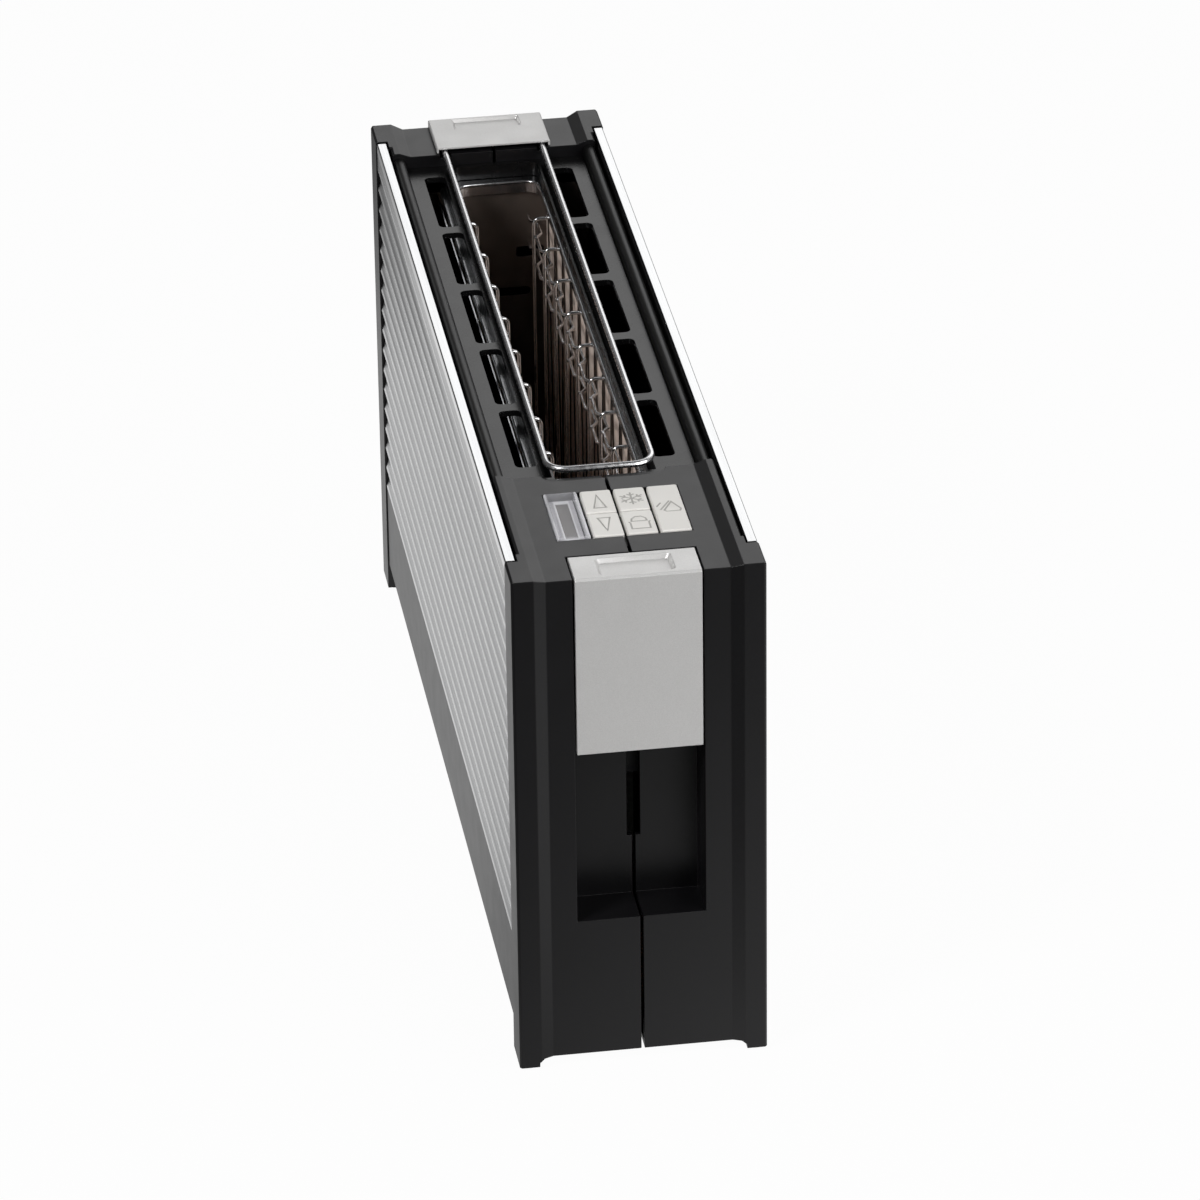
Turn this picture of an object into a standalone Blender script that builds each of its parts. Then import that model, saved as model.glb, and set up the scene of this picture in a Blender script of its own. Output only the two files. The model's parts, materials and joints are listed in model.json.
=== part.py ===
"""Long-slot toaster with a lift-up warming rack, as separate named pieces in metres, +Z up.

The origin is on the floor under the middle of the toaster. X runs across the narrow body and Y runs
along it, from the lever end (negative) to the rear end (positive). A depth is a distance in from one
of the two end planes.
"""
import math

import bmesh
import bpy
from mathutils import Matrix, Vector

FRONT = -1
REAR = 1
LEFT = -1
RIGHT = 1
SIDES = ((LEFT, "left"), (RIGHT, "right"))
ENDS = ((FRONT, "front"), (REAR, "rear"))

# Overall size
LENGTH = 0.424
WIDTH = 0.098
HEIGHT = 0.216

# Values shared by all pieces
FIT = 0.0003
OVERRUN = 0.002
WALL = 0.0025
EDGE = 0.0008
BEAD_STEPS = 5
CORNER_STEPS = 4
ROUND_SIDES = 20
SMOOTH_ANGLE = math.radians(35)

# Moulded ends and deck
TROUGH_FALL = 0.0018
END_SETBACK = 0.002
SHOULDER_WIDTH = 0.0087
SHOULDER_SLOPE = 0.0048
SEAM_GAP = 0.0012
POST_LENGTH = 0.0175
TUCK_GAP = 0.0008
DECK_GAP = 0.0014
DECK_FLANGE = 0.013
FRONT_DECK_GAP = 0.0086
REAR_DECK_GAP = 0.0065

# Feet
FOOT_WIDTH = 0.008
FOOT_SLOPE = 0.002
FOOT_STEP_Z = 0.003
POST_FLOOR_Z = 0.0012
BELLY_Z = 0.0045
PAD_INSET = 0.0015
PAD_END_INSET = 0.002
PAD_HEIGHT = 0.003
PAD_CORNER = 0.0015

# Aluminium side panels
PANEL_INSET = 0.0004
PANEL_END_GAP = 0.0013
PANEL_WALL = 0.0024
PANEL_FLOOR_Z = 0.052
RAIL_WIDTH = 0.0038
RAIL_FALL = 0.0003
RAIL_HEIGHT = 0.0117
RAIL_EDGE = 0.0004
FLUTE_COUNT = 16
FLUTE_DEPTH = 0.001
FLUTE_STEPS = 6

# Skirts under the side panels
SKIRT_INSET = 0.0006
SKIRT_WALL = 0.002
SKIRT_FLOOR_Z = 0.0135

# Inner walls with their ridge bars
INNER_WALL = 0.0025
RIDGE_GAP = 0.0016
RIDGE_RADIUS = 0.0025
RIDGE_FALL = 0.0004
FLANGE_REACH = 0.00795
FLANGE_HEIGHT = 0.0022
RIB_HEIGHT = 0.002
RIB_BOTTOM_Z = 0.060
RIB_TOP_GAP = 0.006

# Base plate
BASE_RISE = 0.0005
BASE_THICKNESS = 0.003
SCREW_END_DEPTH = 0.060
SCREWS_PER_SIDE = 2
SCREW_SIDES = 12
SCREW_RADIUS = 0.0015
SCREW_HEAD_RADIUS = 0.003
SCREW_HEAD_HEIGHT = 0.0015
AIR_SLOT_COUNT = 6
AIR_SLOT_WIDTH = 0.0024
AIR_SLOT_LENGTH_SHARE = 0.862
AIR_SLOT_END_SHARE = 0.48
AIR_SLOT_WALL_GAP = 0.0008
AIR_SLOT_END_DEPTH = 0.125
GLAND_RADIUS = 0.006
GLAND_FLANGE = 0.0018
GLAND_FLANGE_HEIGHT = 0.0014
GLAND_BORE = 0.0033

# Vent cover
VENT_FALL = 0.0052
VENT_THICKNESS = 0.0025
VENT_SIDE_GAP = 0.0004
VENT_SLOT_GAP = 0.0003
VENT_SLOT_FRONT_GAP = 0.0047
VENT_SLOT_REAR_GAP = 0.0026
VENT_SLOT_CORNER = 0.003
VENT_COLLAR = 0.0012
VENT_EDGE = 0.0009
RACK_GROOVE_FALL = 0.0038
RACK_GROOVE_LAND = 0.0005
RACK_GROOVE_END_GAP = 0.0035
WINDOW_COUNT = 5
WINDOW_SLOT_GAP = 0.005
WINDOW_RIDGE_GAP = 0.0065
WINDOW_FRONT_GAP = 0.0101
WINDOW_REAR_GAP = 0.0045
WINDOW_BRIDGE = 0.006
WINDOW_CORNER_SHARE = 0.278
LEDGE_REACH = 0.0022
LEDGE_HEIGHT = 0.0018

# Bright liner of the bread slot
SLOT_HALF_SHARE = 0.1806
LINER_FRONT_DEPTH = 0.0979
LINER_REAR_DEPTH = 0.0375
LINER_CORNER = 0.006
LINER_SHEET = 0.0008
LINER_FLANGE = 0.0072
LINER_TURN = 0.003
LINER_BEAD = 0.00065

# Toasting chamber
CHAMBER_SHEET = 0.0008
REFLECTOR_GAP = 0.0042
REFLECTOR_SHEET = 0.0007
REFLECTOR_FALL = 0.00245
REFLECTOR_BEND_Z = 0.056
REFLECTOR_FOOT_Z = 0.040
REFLECTOR_FOOT_REACH = 0.0059
MICA_SLOT_GAP = 0.0035
MICA_SHEET = 0.0007
MICA_FLOOR_Z = 0.060
MICA_FALL = 0.00695
RIBBON_SHEET = 0.0003
RIBBON_WIDTH = 0.0016
RIBBON_FLOOR_GAP = 0.010
RIBBON_TOP_GAP = 0.0045
RIBBON_RUNS = 25
RIBBON_TURN = 0.003
RIBBON_END_GAP = 0.006
VIEW_SLIT_FALL = 0.05145
VIEW_SLIT_SIDE_GAP = 0.0037
VIEW_SLIT_HEIGHT = 0.004
SLIT_END_SHARE = 0.48
HOOK_SLOT_FALL = 0.03295
HOOK_SLOT_INWARD = 0.004
HOOK_SLOT_OUTWARD = 0.008
HOOK_SLOT_HEIGHT = 0.005

# Wire guards that centre the bread
GUARD_SLOT_GAP = 0.0057
GUARD_WIRE = 0.0008
GUARD_COUNT = 9
GUARD_FIRST_GAP = 0.0159
GUARD_LAST_GAP = 0.0247
GUARD_FLOOR_Z = 0.064
GUARD_BEND = 0.0025
GUARD_HOOK_GAP = 0.0004
GUARD_WELD = 0.0011
BAR_UPPER_FALL = 0.0086
BAR_LOWER_FALL = 0.0216
BAR_FOOT_Z = 0.070
BAR_END_GAP = 0.003
CRIMP_REACH = 0.0024
CRIMP_SHARES = ((0.10, 1), (0.45, 1), (0.55, 0))

# Lever
TRAVEL_SHARE = 1 / 3
COVER_HALF = 0.0244
COVER_INSET = 0.001
COVER_RISE = 0.0004
COVER_HEIGHT_SHARE = 0.351
COVER_REACH = 0.0195
COVER_SHEET = 0.0018
COVER_BLOCK = 0.0042
COVER_FLANGE = 0.004
COVER_FLANGE_WALL = 0.0015
DISH_HALF = 0.0147
DISH_FRONT_WALL = 0.0026
DISH_BACK_WALL = 0.0033
DISH_DEPTH = 0.0018
DISH_SLOPE = 0.0012
DISH_CORNER = 0.0016
RECESS_SIDE_GAP = 0.0008
RECESS_BACK_GAP = 0.0006
RECESS_FLOOR_GAP = 0.0023
RECESS_BACK_WALL = 0.0022
STEM_HALF = 0.0019
STEM_FALL = 0.033
STEM_HEIGHT = 0.018
STEM_PLATE_HALF = 0.008
STEM_PLATE_THICKNESS = 0.002
STEM_SIDE_GAP = 0.00065
STEM_END_GAP = 0.0015

# Carriage, its guide and the bread rack
CARRIAGE_GAP = 0.0067
CARRIAGE_LENGTH = 0.014
CARRIAGE_SIDE_GAP = 0.005
CARRIAGE_RISE = 0.0004
CARRIAGE_HEIGHT_SHARE = 0.3056
CARRIAGE_POCKET = 0.004
ROD_INSET = 0.006
ROD_RADIUS = 0.003
LUG_HALF = 0.004
LUG_HEIGHT = 0.003
LUG_FALL = 0.029
ARMATURE_SIDE_GAP = 0.0095
ARMATURE_HEIGHT = 0.003
ARMATURE_INSET = 0.001
SPRING_RADIUS = 0.0035
SPRING_WIRE = 0.0006
SPRING_BACK_GAP = 0.0025
SPRING_TURNS = 12
SPRING_POINTS = 9
SPINE_HALF = 0.0008
SPINE_RISE = 0.006
SPINE_HEIGHT = 0.008
SPINE_SIDE_GAP = 0.0007
SPINE_END_GAP = 0.002
SPINE_TAIL = 0.0016
BREAD_FINGER_GAP = 0.0055
BREAD_FINGER_SHEET = 0.001
BREAD_FINGER_HEIGHT = 0.003

# Mechanism frame, magnet and boards
FRAME_GAP = 0.0037
FRAME_LENGTH = 0.0345
FRAME_HALF_SHARE = 0.2245
FRAME_SHEET = 0.0015
FRAME_FALL = 0.0177
FRAME_WINDOW_INNER_X = 0.006
FRAME_WINDOW_SIDE = 0.004
FRAME_WINDOW_MARGIN = 0.045
STANDOFF_RADIUS = 0.0025
STANDOFF_HEIGHT = 0.0045
STANDOFF_SIDE_INSET = 0.005
STANDOFF_INSET = 0.0055
BOARD_SHEET = 0.0016
BOARD_HALF = 0.030
BOARD_FRONT_DEPTH = 0.032
BOARD_LINER_GAP = 0.0199
POWER_BOARD_LINER_GAP = 0.0129
POWER_BOARD_FLOOR_Z = 0.040
POWER_BOARD_TOP_Z = 0.150
RELAY_REACH = 0.012
RELAY_LENGTH = 0.016
RELAY_HEIGHT = 0.018
RELAY_DEPTH = 0.036
RELAY_Z = 0.075
CAPACITOR_RADIUS = 0.006
CAPACITOR_DEPTH = 0.048
CAPACITOR_Z = 0.118
TERMINAL_LENGTH = 0.014
TERMINAL_INSET = 0.019
TERMINAL_HEIGHT = 0.010
TERMINAL_Z = 0.050

# Keypad
KEYPAD_HALF = 0.0264
KEYPAD_FRONT_DEPTH = 0.0345
KEYPAD_DECK_GAP = 0.0163
CELL_EDGE = 0.0003
CELL_GAP = 0.0012
CELL_CORNER = 0.0006
DISPLAY_WIDTH = 0.013
DISPLAY_RISE = 0.0008
DISPLAY_WALL = 0.0015
DISPLAY_PANEL_THICKNESS = 0.0011
BUTTON_RISE = 0.0006
BUTTON_THICKNESS = 0.0029
BUTTON_EDGE = 0.0004
BUTTON_PRESS = 0.0008
PLUNGER_WIDTH = 0.004
PLUNGER_LENGTH = 0.006
PLUNGER_GAP = 0.0004
SWITCH_SIZE = 0.0045
SWITCH_HEIGHT = 0.0022
CARRIER_HALF = 0.030
CARRIER_MARGIN = 0.0035
CARRIER_SHEET = 0.0015
CARRIER_RIM = 0.003
CARRIER_LEG = 0.003

# Warming rack
RACK_SLOT_GAP = 0.0031
RACK_WIRE = 0.0014
RACK_FRONT_GAP = 0.0048
RACK_CORNER = 0.008
RACK_CORNER_STEPS = 6
RACK_END_DEPTH = 0.008
NOTCH_FALL = 0.0016
NOTCH_HALF = 0.0245
NOTCH_FRONT_GAP = 0.0091
NOTCH_CORNER = 0.006
GROOVE_HALF = 0.0022
GROOVE_REAR_DEPTH = 0.006
HANDLE_HALF = 0.0243
HANDLE_INSET = 0.0006
HANDLE_REACH = 0.0294
HANDLE_SHEET = 0.0008
HANDLE_EDGE = 0.0004
HANDLE_PLATE = 0.001
HANDLE_PLATE_HEIGHT = 0.030
PAN_LENGTH = 0.012
PAN_WALL = 0.0008
LEG_X = 0.017
LEG_WIDTH = 0.003
LEG_DEPTH = 0.013
LEG_LENGTH = 0.006
LEG_TAIL = 0.018
LEG_SLOT_GAP = 0.0005
FINGER_HALF = 0.0115
FINGER_HEIGHT = 0.022
FINGER_DEPTH = 0.012
GUIDE_HALF = 0.022
GUIDE_LENGTH = 0.0172
GUIDE_HEIGHT = 0.0432

# Crumb tray
TRAY_SIDE_GAP = 0.004
TRAY_FRONT_GAP = 0.0021
TRAY_HEIGHT = 0.0137
TRAY_SHEET = 0.0008
TRAY_CLEARANCE = 0.001
DOOR_OVERLAP = 0.001
DOOR_SETBACK = 0.0004
DOOR_THICKNESS = 0.0033
DOOR_RISE = 0.002
DOOR_GAP = 0.0004
PULL_HALF = 0.014
PULL_HEIGHT = 0.002
PULL_REACH = 0.0014
PULL_FALL = 0.002

# Places worked out from the sizes above, from the outside in
HALF_WIDTH = WIDTH / 2
SEAM_X = SEAM_GAP / 2
SHOULDER_X = HALF_WIDTH - SHOULDER_WIDTH
TROUGH_X = SHOULDER_X - SHOULDER_SLOPE
DECK_Z = HEIGHT - TROUGH_FALL
DECK_UNDER_Z = DECK_Z - WALL
DECK_FLANGE_Z = HEIGHT - DECK_FLANGE
FOOT_X = HALF_WIDTH - FOOT_WIDTH
CAP_FLOOR_Z = BELLY_Z + WALL
PANEL_X = HALF_WIDTH - PANEL_INSET
PANEL_BACK_X = PANEL_X - PANEL_WALL
PANEL_DEPTH = POST_LENGTH + PANEL_END_GAP
RAIL_X = PANEL_X - RAIL_WIDTH
RAIL_TOP_Z = HEIGHT - RAIL_FALL
RAIL_FLOOR_Z = RAIL_TOP_Z - RAIL_HEIGHT
TUCK_X = RAIL_X - TUCK_GAP
DECK_SIDE_X = RAIL_X - DECK_GAP
RIDGE_X = RAIL_X - RIDGE_GAP - RIDGE_RADIUS
RIDGE_INNER_X = RIDGE_X - RIDGE_RADIUS
RIDGE_Z = DECK_Z - RIDGE_FALL - RIDGE_RADIUS
WEB_INNER_X = RIDGE_X - INNER_WALL / 2
WEB_OUTER_X = RIDGE_X + INNER_WALL / 2
SLOT_HALF = WIDTH * SLOT_HALF_SHARE
GUARD_X = SLOT_HALF - GUARD_SLOT_GAP
MICA_X = SLOT_HALF + MICA_SLOT_GAP
REFLECTOR_X = MICA_X + REFLECTOR_GAP
REFLECTOR_FOOT_X = REFLECTOR_X - REFLECTOR_FOOT_REACH
WINDOW_INNER_X = SLOT_HALF + WINDOW_SLOT_GAP
WINDOW_OUTER_X = RIDGE_INNER_X - WINDOW_RIDGE_GAP
WINDOW_CORNER = (WINDOW_OUTER_X - WINDOW_INNER_X) * WINDOW_CORNER_SHARE
RACK_X = SLOT_HALF + RACK_SLOT_GAP
BREAD_FINGER_HALF = GUARD_X - BREAD_FINGER_GAP
HOOK_SLOT_INNER_X = GUARD_X - HOOK_SLOT_INWARD
HOOK_SLOT_OUTER_X = GUARD_X + HOOK_SLOT_OUTWARD
VIEW_SLIT_HALF = SLOT_HALF - VIEW_SLIT_SIDE_GAP
TRAY_HALF = WEB_OUTER_X - FLANGE_REACH - TRAY_SIDE_GAP
FRAME_HALF = WIDTH * FRAME_HALF_SHARE
STANDOFF_X = FRAME_HALF - STANDOFF_SIDE_INSET
FRAME_WINDOW_OUTER_X = FRAME_HALF - FRAME_WINDOW_SIDE
CARRIAGE_HALF = FRAME_HALF - CARRIAGE_SIDE_GAP
ROD_X = CARRIAGE_HALF - ROD_INSET
ARMATURE_HALF = CARRIAGE_HALF - ARMATURE_SIDE_GAP
VENT_TOP_Z = DECK_Z - VENT_FALL
VENT_UNDER_Z = VENT_TOP_Z - VENT_THICKNESS
LEDGE_TOP_Z = VENT_UNDER_Z - FIT
LEDGE_FLOOR_Z = LEDGE_TOP_Z - LEDGE_HEIGHT
LINER_TOP_Z = DECK_FLANGE_Z - FIT - FIT / 2
BASE_Z = BELLY_Z + BASE_RISE
BASE_TOP_Z = BASE_Z + BASE_THICKNESS
FLOOR_Z = BASE_TOP_Z + FIT
FLANGE_TOP_Z = FLOOR_Z + FLANGE_HEIGHT

TRAVEL = HEIGHT * TRAVEL_SHARE
COVER_TOP_Z = DECK_Z + COVER_RISE
COVER_FLOOR_Z = COVER_TOP_Z - HEIGHT * COVER_HEIGHT_SHARE
RECESS_HALF = COVER_HALF + RECESS_SIDE_GAP
RECESS_DEPTH = COVER_INSET + COVER_REACH + RECESS_BACK_GAP
RECESS_FLOOR_Z = COVER_FLOOR_Z - TRAVEL - RECESS_FLOOR_GAP
CAP_DEPTH = RECESS_DEPTH + RECESS_BACK_WALL
INNER_DEPTH = CAP_DEPTH + FIT
STEM_TOP_Z = COVER_TOP_Z - STEM_FALL
STEM_FLOOR_Z = STEM_TOP_Z - STEM_HEIGHT
CARRIAGE_DEPTH = CAP_DEPTH + CARRIAGE_GAP
CARRIAGE_BACK_DEPTH = CARRIAGE_DEPTH + CARRIAGE_LENGTH
CARRIAGE_TOP_Z = STEM_TOP_Z + CARRIAGE_RISE
CARRIAGE_FLOOR_Z = CARRIAGE_TOP_Z - HEIGHT * CARRIAGE_HEIGHT_SHARE
LUG_TOP_Z = CARRIAGE_TOP_Z - LUG_FALL
SPRING_DEPTH = CARRIAGE_BACK_DEPTH + SPRING_BACK_GAP + SPRING_RADIUS
SPINE_TOP_Z = CARRIAGE_FLOOR_Z + SPINE_RISE
SPINE_FLOOR_Z = SPINE_TOP_Z - SPINE_HEIGHT
SPINE_DEPTH = CARRIAGE_BACK_DEPTH + FIT
FRAME_DEPTH = CAP_DEPTH + FRAME_GAP
FRAME_BACK_DEPTH = FRAME_DEPTH + FRAME_LENGTH
FRAME_FOOT_Z = FLOOR_Z + FRAME_SHEET
FRAME_TOP_Z = DECK_Z - FRAME_FALL
FRAME_ROOF_Z = FRAME_TOP_Z - FRAME_SHEET
ARMATURE_TOP_Z = CARRIAGE_FLOOR_Z - FIT
MAGNET_TOP_Z = ARMATURE_TOP_Z - ARMATURE_HEIGHT - TRAVEL - FIT
BOARD_Z = FRAME_TOP_Z + STANDOFF_HEIGHT + FIT
BOARD_TOP_Z = BOARD_Z + BOARD_SHEET
SWITCH_TOP_Z = BOARD_TOP_Z + SWITCH_HEIGHT
BUTTON_TOP_Z = DECK_Z + BUTTON_RISE
BUTTON_FLOOR_Z = BUTTON_TOP_Z - BUTTON_THICKNESS
PLUNGER_FLOOR_Z = SWITCH_TOP_Z + BUTTON_PRESS + FIT
CARRIER_TOP_Z = BUTTON_FLOOR_Z - BUTTON_PRESS - FIT
CARRIER_FLOOR_Z = CARRIER_TOP_Z - CARRIER_SHEET
FRONT_DECK_LENGTH = LINER_FRONT_DEPTH - FRONT_DECK_GAP
REAR_DECK_LENGTH = LINER_REAR_DEPTH - REAR_DECK_GAP
KEYPAD_BACK_DEPTH = FRONT_DECK_LENGTH - KEYPAD_DECK_GAP
WINDOW_FRONT_DEPTH = LINER_FRONT_DEPTH + WINDOW_FRONT_GAP
WINDOW_REAR_DEPTH = LINER_REAR_DEPTH + WINDOW_REAR_GAP
BOARD_BACK_DEPTH = LINER_FRONT_DEPTH - BOARD_LINER_GAP
POWER_BOARD_BACK_DEPTH = LINER_FRONT_DEPTH - POWER_BOARD_LINER_GAP
TERMINAL_DEPTH = POWER_BOARD_BACK_DEPTH - TERMINAL_INSET
TRAY_FRONT_DEPTH = LINER_FRONT_DEPTH + TRAY_FRONT_GAP
GLAND_DEPTH = (FRAME_BACK_DEPTH + TRAY_FRONT_DEPTH) / 2
AIR_SLOT_PITCH = (LENGTH - 2 * AIR_SLOT_END_DEPTH) / (AIR_SLOT_COUNT - 1)
AIR_SLOT_LENGTH = AIR_SLOT_PITCH * AIR_SLOT_LENGTH_SHARE
BUTTON_WIDTH = (2 * (KEYPAD_HALF - CELL_EDGE) - DISPLAY_WIDTH - 3 * CELL_GAP) / 3

CHAMBER_FRONT_DEPTH = LINER_FRONT_DEPTH - LINER_SHEET - FIT
CHAMBER_REAR_DEPTH = LINER_REAR_DEPTH - LINER_SHEET - FIT
CHAMBER_HALF = WEB_INNER_X - FIT
CHAMBER_TOP_Z = LINER_TOP_Z - LINER_SHEET - FIT
CHAMBER_FLOOR_Z = FLANGE_TOP_Z + FIT
REFLECTOR_TOP_Z = CHAMBER_TOP_Z - REFLECTOR_FALL
MICA_TOP_Z = CHAMBER_TOP_Z - MICA_FALL
RIBBON_FLOOR_Z = MICA_FLOOR_Z + RIBBON_FLOOR_GAP
RIBBON_TOP_Z = MICA_TOP_Z - RIBBON_TOP_GAP
VIEW_SLIT_Z = CHAMBER_TOP_Z - VIEW_SLIT_FALL
HOOK_SLOT_Z = CHAMBER_TOP_Z - HOOK_SLOT_FALL
HOOK_Z = MICA_TOP_Z + FIT + GUARD_WIRE
BAR_UPPER_Z = HOOK_Z - BAR_UPPER_FALL
BAR_LOWER_Z = HOOK_Z - BAR_LOWER_FALL
GUARD_FIRST_DEPTH = LINER_FRONT_DEPTH + GUARD_FIRST_GAP
GUARD_LAST_DEPTH = LINER_REAR_DEPTH + GUARD_LAST_GAP
LINER_FLOOR_Z = HOOK_Z + GUARD_WIRE + FIT
GUARD_PITCH = (LENGTH - GUARD_FIRST_DEPTH - GUARD_LAST_DEPTH) / (GUARD_COUNT - 1)

NOTCH_Z = DECK_Z - NOTCH_FALL
RACK_Z = NOTCH_Z + FIT + RACK_WIRE
HANDLE_UNDER_Z = RACK_Z + RACK_WIRE + FIT
HANDLE_TOP_Z = HANDLE_UNDER_Z + HANDLE_SHEET
HANDLE_FLANGE_Z = DECK_Z + FIT
HANDLE_PLATE_FLOOR_Z = HANDLE_UNDER_Z - HANDLE_PLATE_HEIGHT
FINGER_TOP_Z = HANDLE_PLATE_FLOOR_Z
FINGER_FLOOR_Z = FINGER_TOP_Z - FINGER_HEIGHT
GUIDE_TOP_Z = FINGER_FLOOR_Z - WALL - FIT
GUIDE_FLOOR_Z = GUIDE_TOP_Z - GUIDE_HEIGHT
GUIDE_DEPTH = END_SETBACK + WALL + FIT
LEG_FLOOR_Z = GUIDE_FLOOR_Z - LEG_TAIL
RACK_FRONT_DEPTH = LINER_FRONT_DEPTH - RACK_FRONT_GAP
NOTCH_FRONT_DEPTH = RACK_FRONT_DEPTH - NOTCH_FRONT_GAP

DOOR_HALF = TRAY_HALF + DOOR_OVERLAP
DOOR_DEPTH = END_SETBACK + DOOR_SETBACK
TRAY_TOP_Z = FLOOR_Z + TRAY_HEIGHT
DOOR_TOP_Z = TRAY_TOP_Z + DOOR_RISE
TRAY_REAR_DEPTH = DOOR_DEPTH + DOOR_THICKNESS + FIT

# Finishes: colour, roughness, metallic
BLACK_PLASTIC = ((0.021, 0.021, 0.023), 0.45, 0.0)
BLACK_GRILLE = ((0.016, 0.016, 0.017), 0.40, 0.0)
ALUMINIUM = ((0.62, 0.62, 0.63), 0.32, 1.0)
SILVER_PLASTIC = ((0.56, 0.55, 0.54), 0.38, 0.6)
PALE_PLASTIC = ((0.70, 0.69, 0.66), 0.45, 0.0)
BRIGHT_STEEL = ((0.72, 0.72, 0.74), 0.18, 1.0)
GREY_STEEL = ((0.36, 0.35, 0.34), 0.42, 1.0)
DARK_STEEL = ((0.10, 0.085, 0.075), 0.50, 0.8)
MICA = ((0.30, 0.22, 0.17), 0.55, 0.0)
HEATER_ALLOY = ((0.14, 0.11, 0.095), 0.45, 0.9)
RUBBER = ((0.02, 0.02, 0.02), 0.85, 0.0)
CIRCUIT_BOARD = ((0.05, 0.16, 0.07), 0.50, 0.0)
CLEAR_PLASTIC = ((0.86, 0.87, 0.88), 0.08, 0.0)
DISPLAY_GREY = ((0.20, 0.18, 0.17), 0.30, 0.0)
COPPER = ((0.60, 0.30, 0.18), 0.35, 1.0)


def along(end, depth):
    """Y of a place at a depth in from the front or the rear end plane."""
    return end * (LENGTH / 2 - depth)


def place_x(a, b, height):
    return (height, a, b)


def place_y(a, b, height):
    return (a, height, b)


def place_z(a, b, height):
    return (a, b, height)


def rectangle(a0, a1, b0, b1):
    return [(a0, b0), (a1, b0), (a1, b1), (a0, b1)]


def arc(a, b, radius, first_quarter, last_quarter, steps=CORNER_STEPS):
    """Points on a circle, from one count of quarter turns to another."""
    points = []
    for step in range(steps + 1):
        angle = math.pi / 2 * (first_quarter + (last_quarter - first_quarter) * step / steps)
        points.append((a + radius * math.cos(angle), b + radius * math.sin(angle)))
    return points


def rounded(a0, a1, b0, b1, radius, steps=CORNER_STEPS):
    """Outline of a rectangle with four round corners."""
    low_a, high_a = min(a0, a1) + radius, max(a0, a1) - radius
    low_b, high_b = min(b0, b1) + radius, max(b0, b1) - radius
    return (arc(high_a, high_b, radius, 0, 1, steps) + arc(low_a, high_b, radius, 1, 2, steps)
            + arc(low_a, low_b, radius, 2, 3, steps) + arc(high_a, low_b, radius, 3, 4, steps))


def circle(a, b, radius, sides=ROUND_SIDES):
    return arc(a, b, radius, 0, 4 * (sides - 1) / sides, sides - 1)


def mirrored(outline, side):
    """The outline on the chosen side of the seam."""
    return [(side * a, b) for a, b in outline]


def link(name, data):
    piece = bpy.data.objects.new(name, data)
    bpy.context.scene.collection.objects.link(piece)
    return piece


def solid(name, bm):
    """Turn a finished bmesh into an object whose faces point out."""
    bmesh.ops.recalc_face_normals(bm, faces=bm.faces[:])
    if bm.calc_volume(signed=True) < 0:
        bmesh.ops.reverse_faces(bm, faces=bm.faces[:])
    mesh = bpy.data.meshes.new(name)
    bm.to_mesh(mesh)
    bm.free()
    return link(name, mesh)


def prisms(name, outlines, place, low, high):
    """Extrude each closed outline from low to high along the axis that place stands for."""
    bm = bmesh.new()
    for outline in outlines:
        face = bm.faces.new([bm.verts.new(place(a, b, low)) for a, b in outline])
        grown = bmesh.ops.extrude_face_region(bm, geom=[face])
        moved = [item for item in grown["geom"] if isinstance(item, bmesh.types.BMVert)]
        bmesh.ops.translate(bm, vec=Vector(place(0, 0, high - low)), verts=moved)
    return solid(name, bm)


def prism(name, outline, place, low, high):
    return prisms(name, [outline], place, low, high)


def box(name, x0, x1, y0, y1, z0, z1):
    return prism(name, rectangle(x0, x1, y0, y1), place_z, z0, z1)


def skin(name, rings, looped=False):
    """Join rings of equal point count one after another, and fill the two ends unless they loop."""
    bm = bmesh.new()
    loops = [[bm.verts.new(point) for point in ring] for ring in rings]
    pairs = list(zip(loops, loops[1:]))
    if looped:
        pairs.append((loops[-1], loops[0]))
    else:
        bm.faces.new(loops[0])
        bm.faces.new(loops[-1])
    count = len(rings[0])
    for first, second in pairs:
        for i in range(count):
            j = (i + 1) % count
            bm.faces.new((first[i], first[j], second[j], second[i]))
    return solid(name, bm)


def level(outline, z):
    """Lift a flat outline to a height."""
    return [(x, y, z) for x, y in outline]


def wire(name, paths, radius, resolution=1):
    """Round wire along one or more open paths, with filled ends."""
    curve = bpy.data.curves.new(name, "CURVE")
    curve.dimensions = "3D"
    curve.bevel_depth = radius
    curve.bevel_resolution = resolution
    curve.use_fill_caps = True
    for path in paths:
        spline = curve.splines.new("POLY")
        spline.points.add(len(path) - 1)
        for point, place in zip(spline.points, path):
            point.co = (*place, 1)
    return link(name, curve)


def wire_mesh(name, paths, radius, resolution=1):
    """The same wire as a mesh, which a Boolean can join to other wires."""
    curve = wire(name + "_path", paths, radius, resolution)
    mesh = bpy.data.meshes.new_from_object(curve)
    bpy.data.objects.remove(curve)
    return link(name, mesh)


def boolean(target, operation, tools):
    for tool in tools:
        tool.hide_render = True
        tool.display_type = "WIRE"
        modifier = target.modifiers.new(tool.name, "BOOLEAN")
        modifier.operation = operation
        modifier.solver = "EXACT"
        modifier.object = tool
    return target


def cut(target, *tools):
    return boolean(target, "DIFFERENCE", tools)


def join(target, *tools):
    return boolean(target, "UNION", tools)


def smooth(piece):
    piece.data.shade_smooth()
    piece.data.set_sharp_from_angle(angle=SMOOTH_ANGLE)
    return piece


def finish(piece, look):
    """Give a piece its own material."""
    colour, roughness, metallic = look
    material = bpy.data.materials.new(piece.name)
    material.use_nodes = True
    shader = material.node_tree.nodes["Principled BSDF"]
    shader.inputs["Base Color"].default_value = (*colour, 1)
    shader.inputs["Roughness"].default_value = roughness
    shader.inputs["Metallic"].default_value = metallic
    piece.data.materials.append(material)
    return piece


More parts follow.
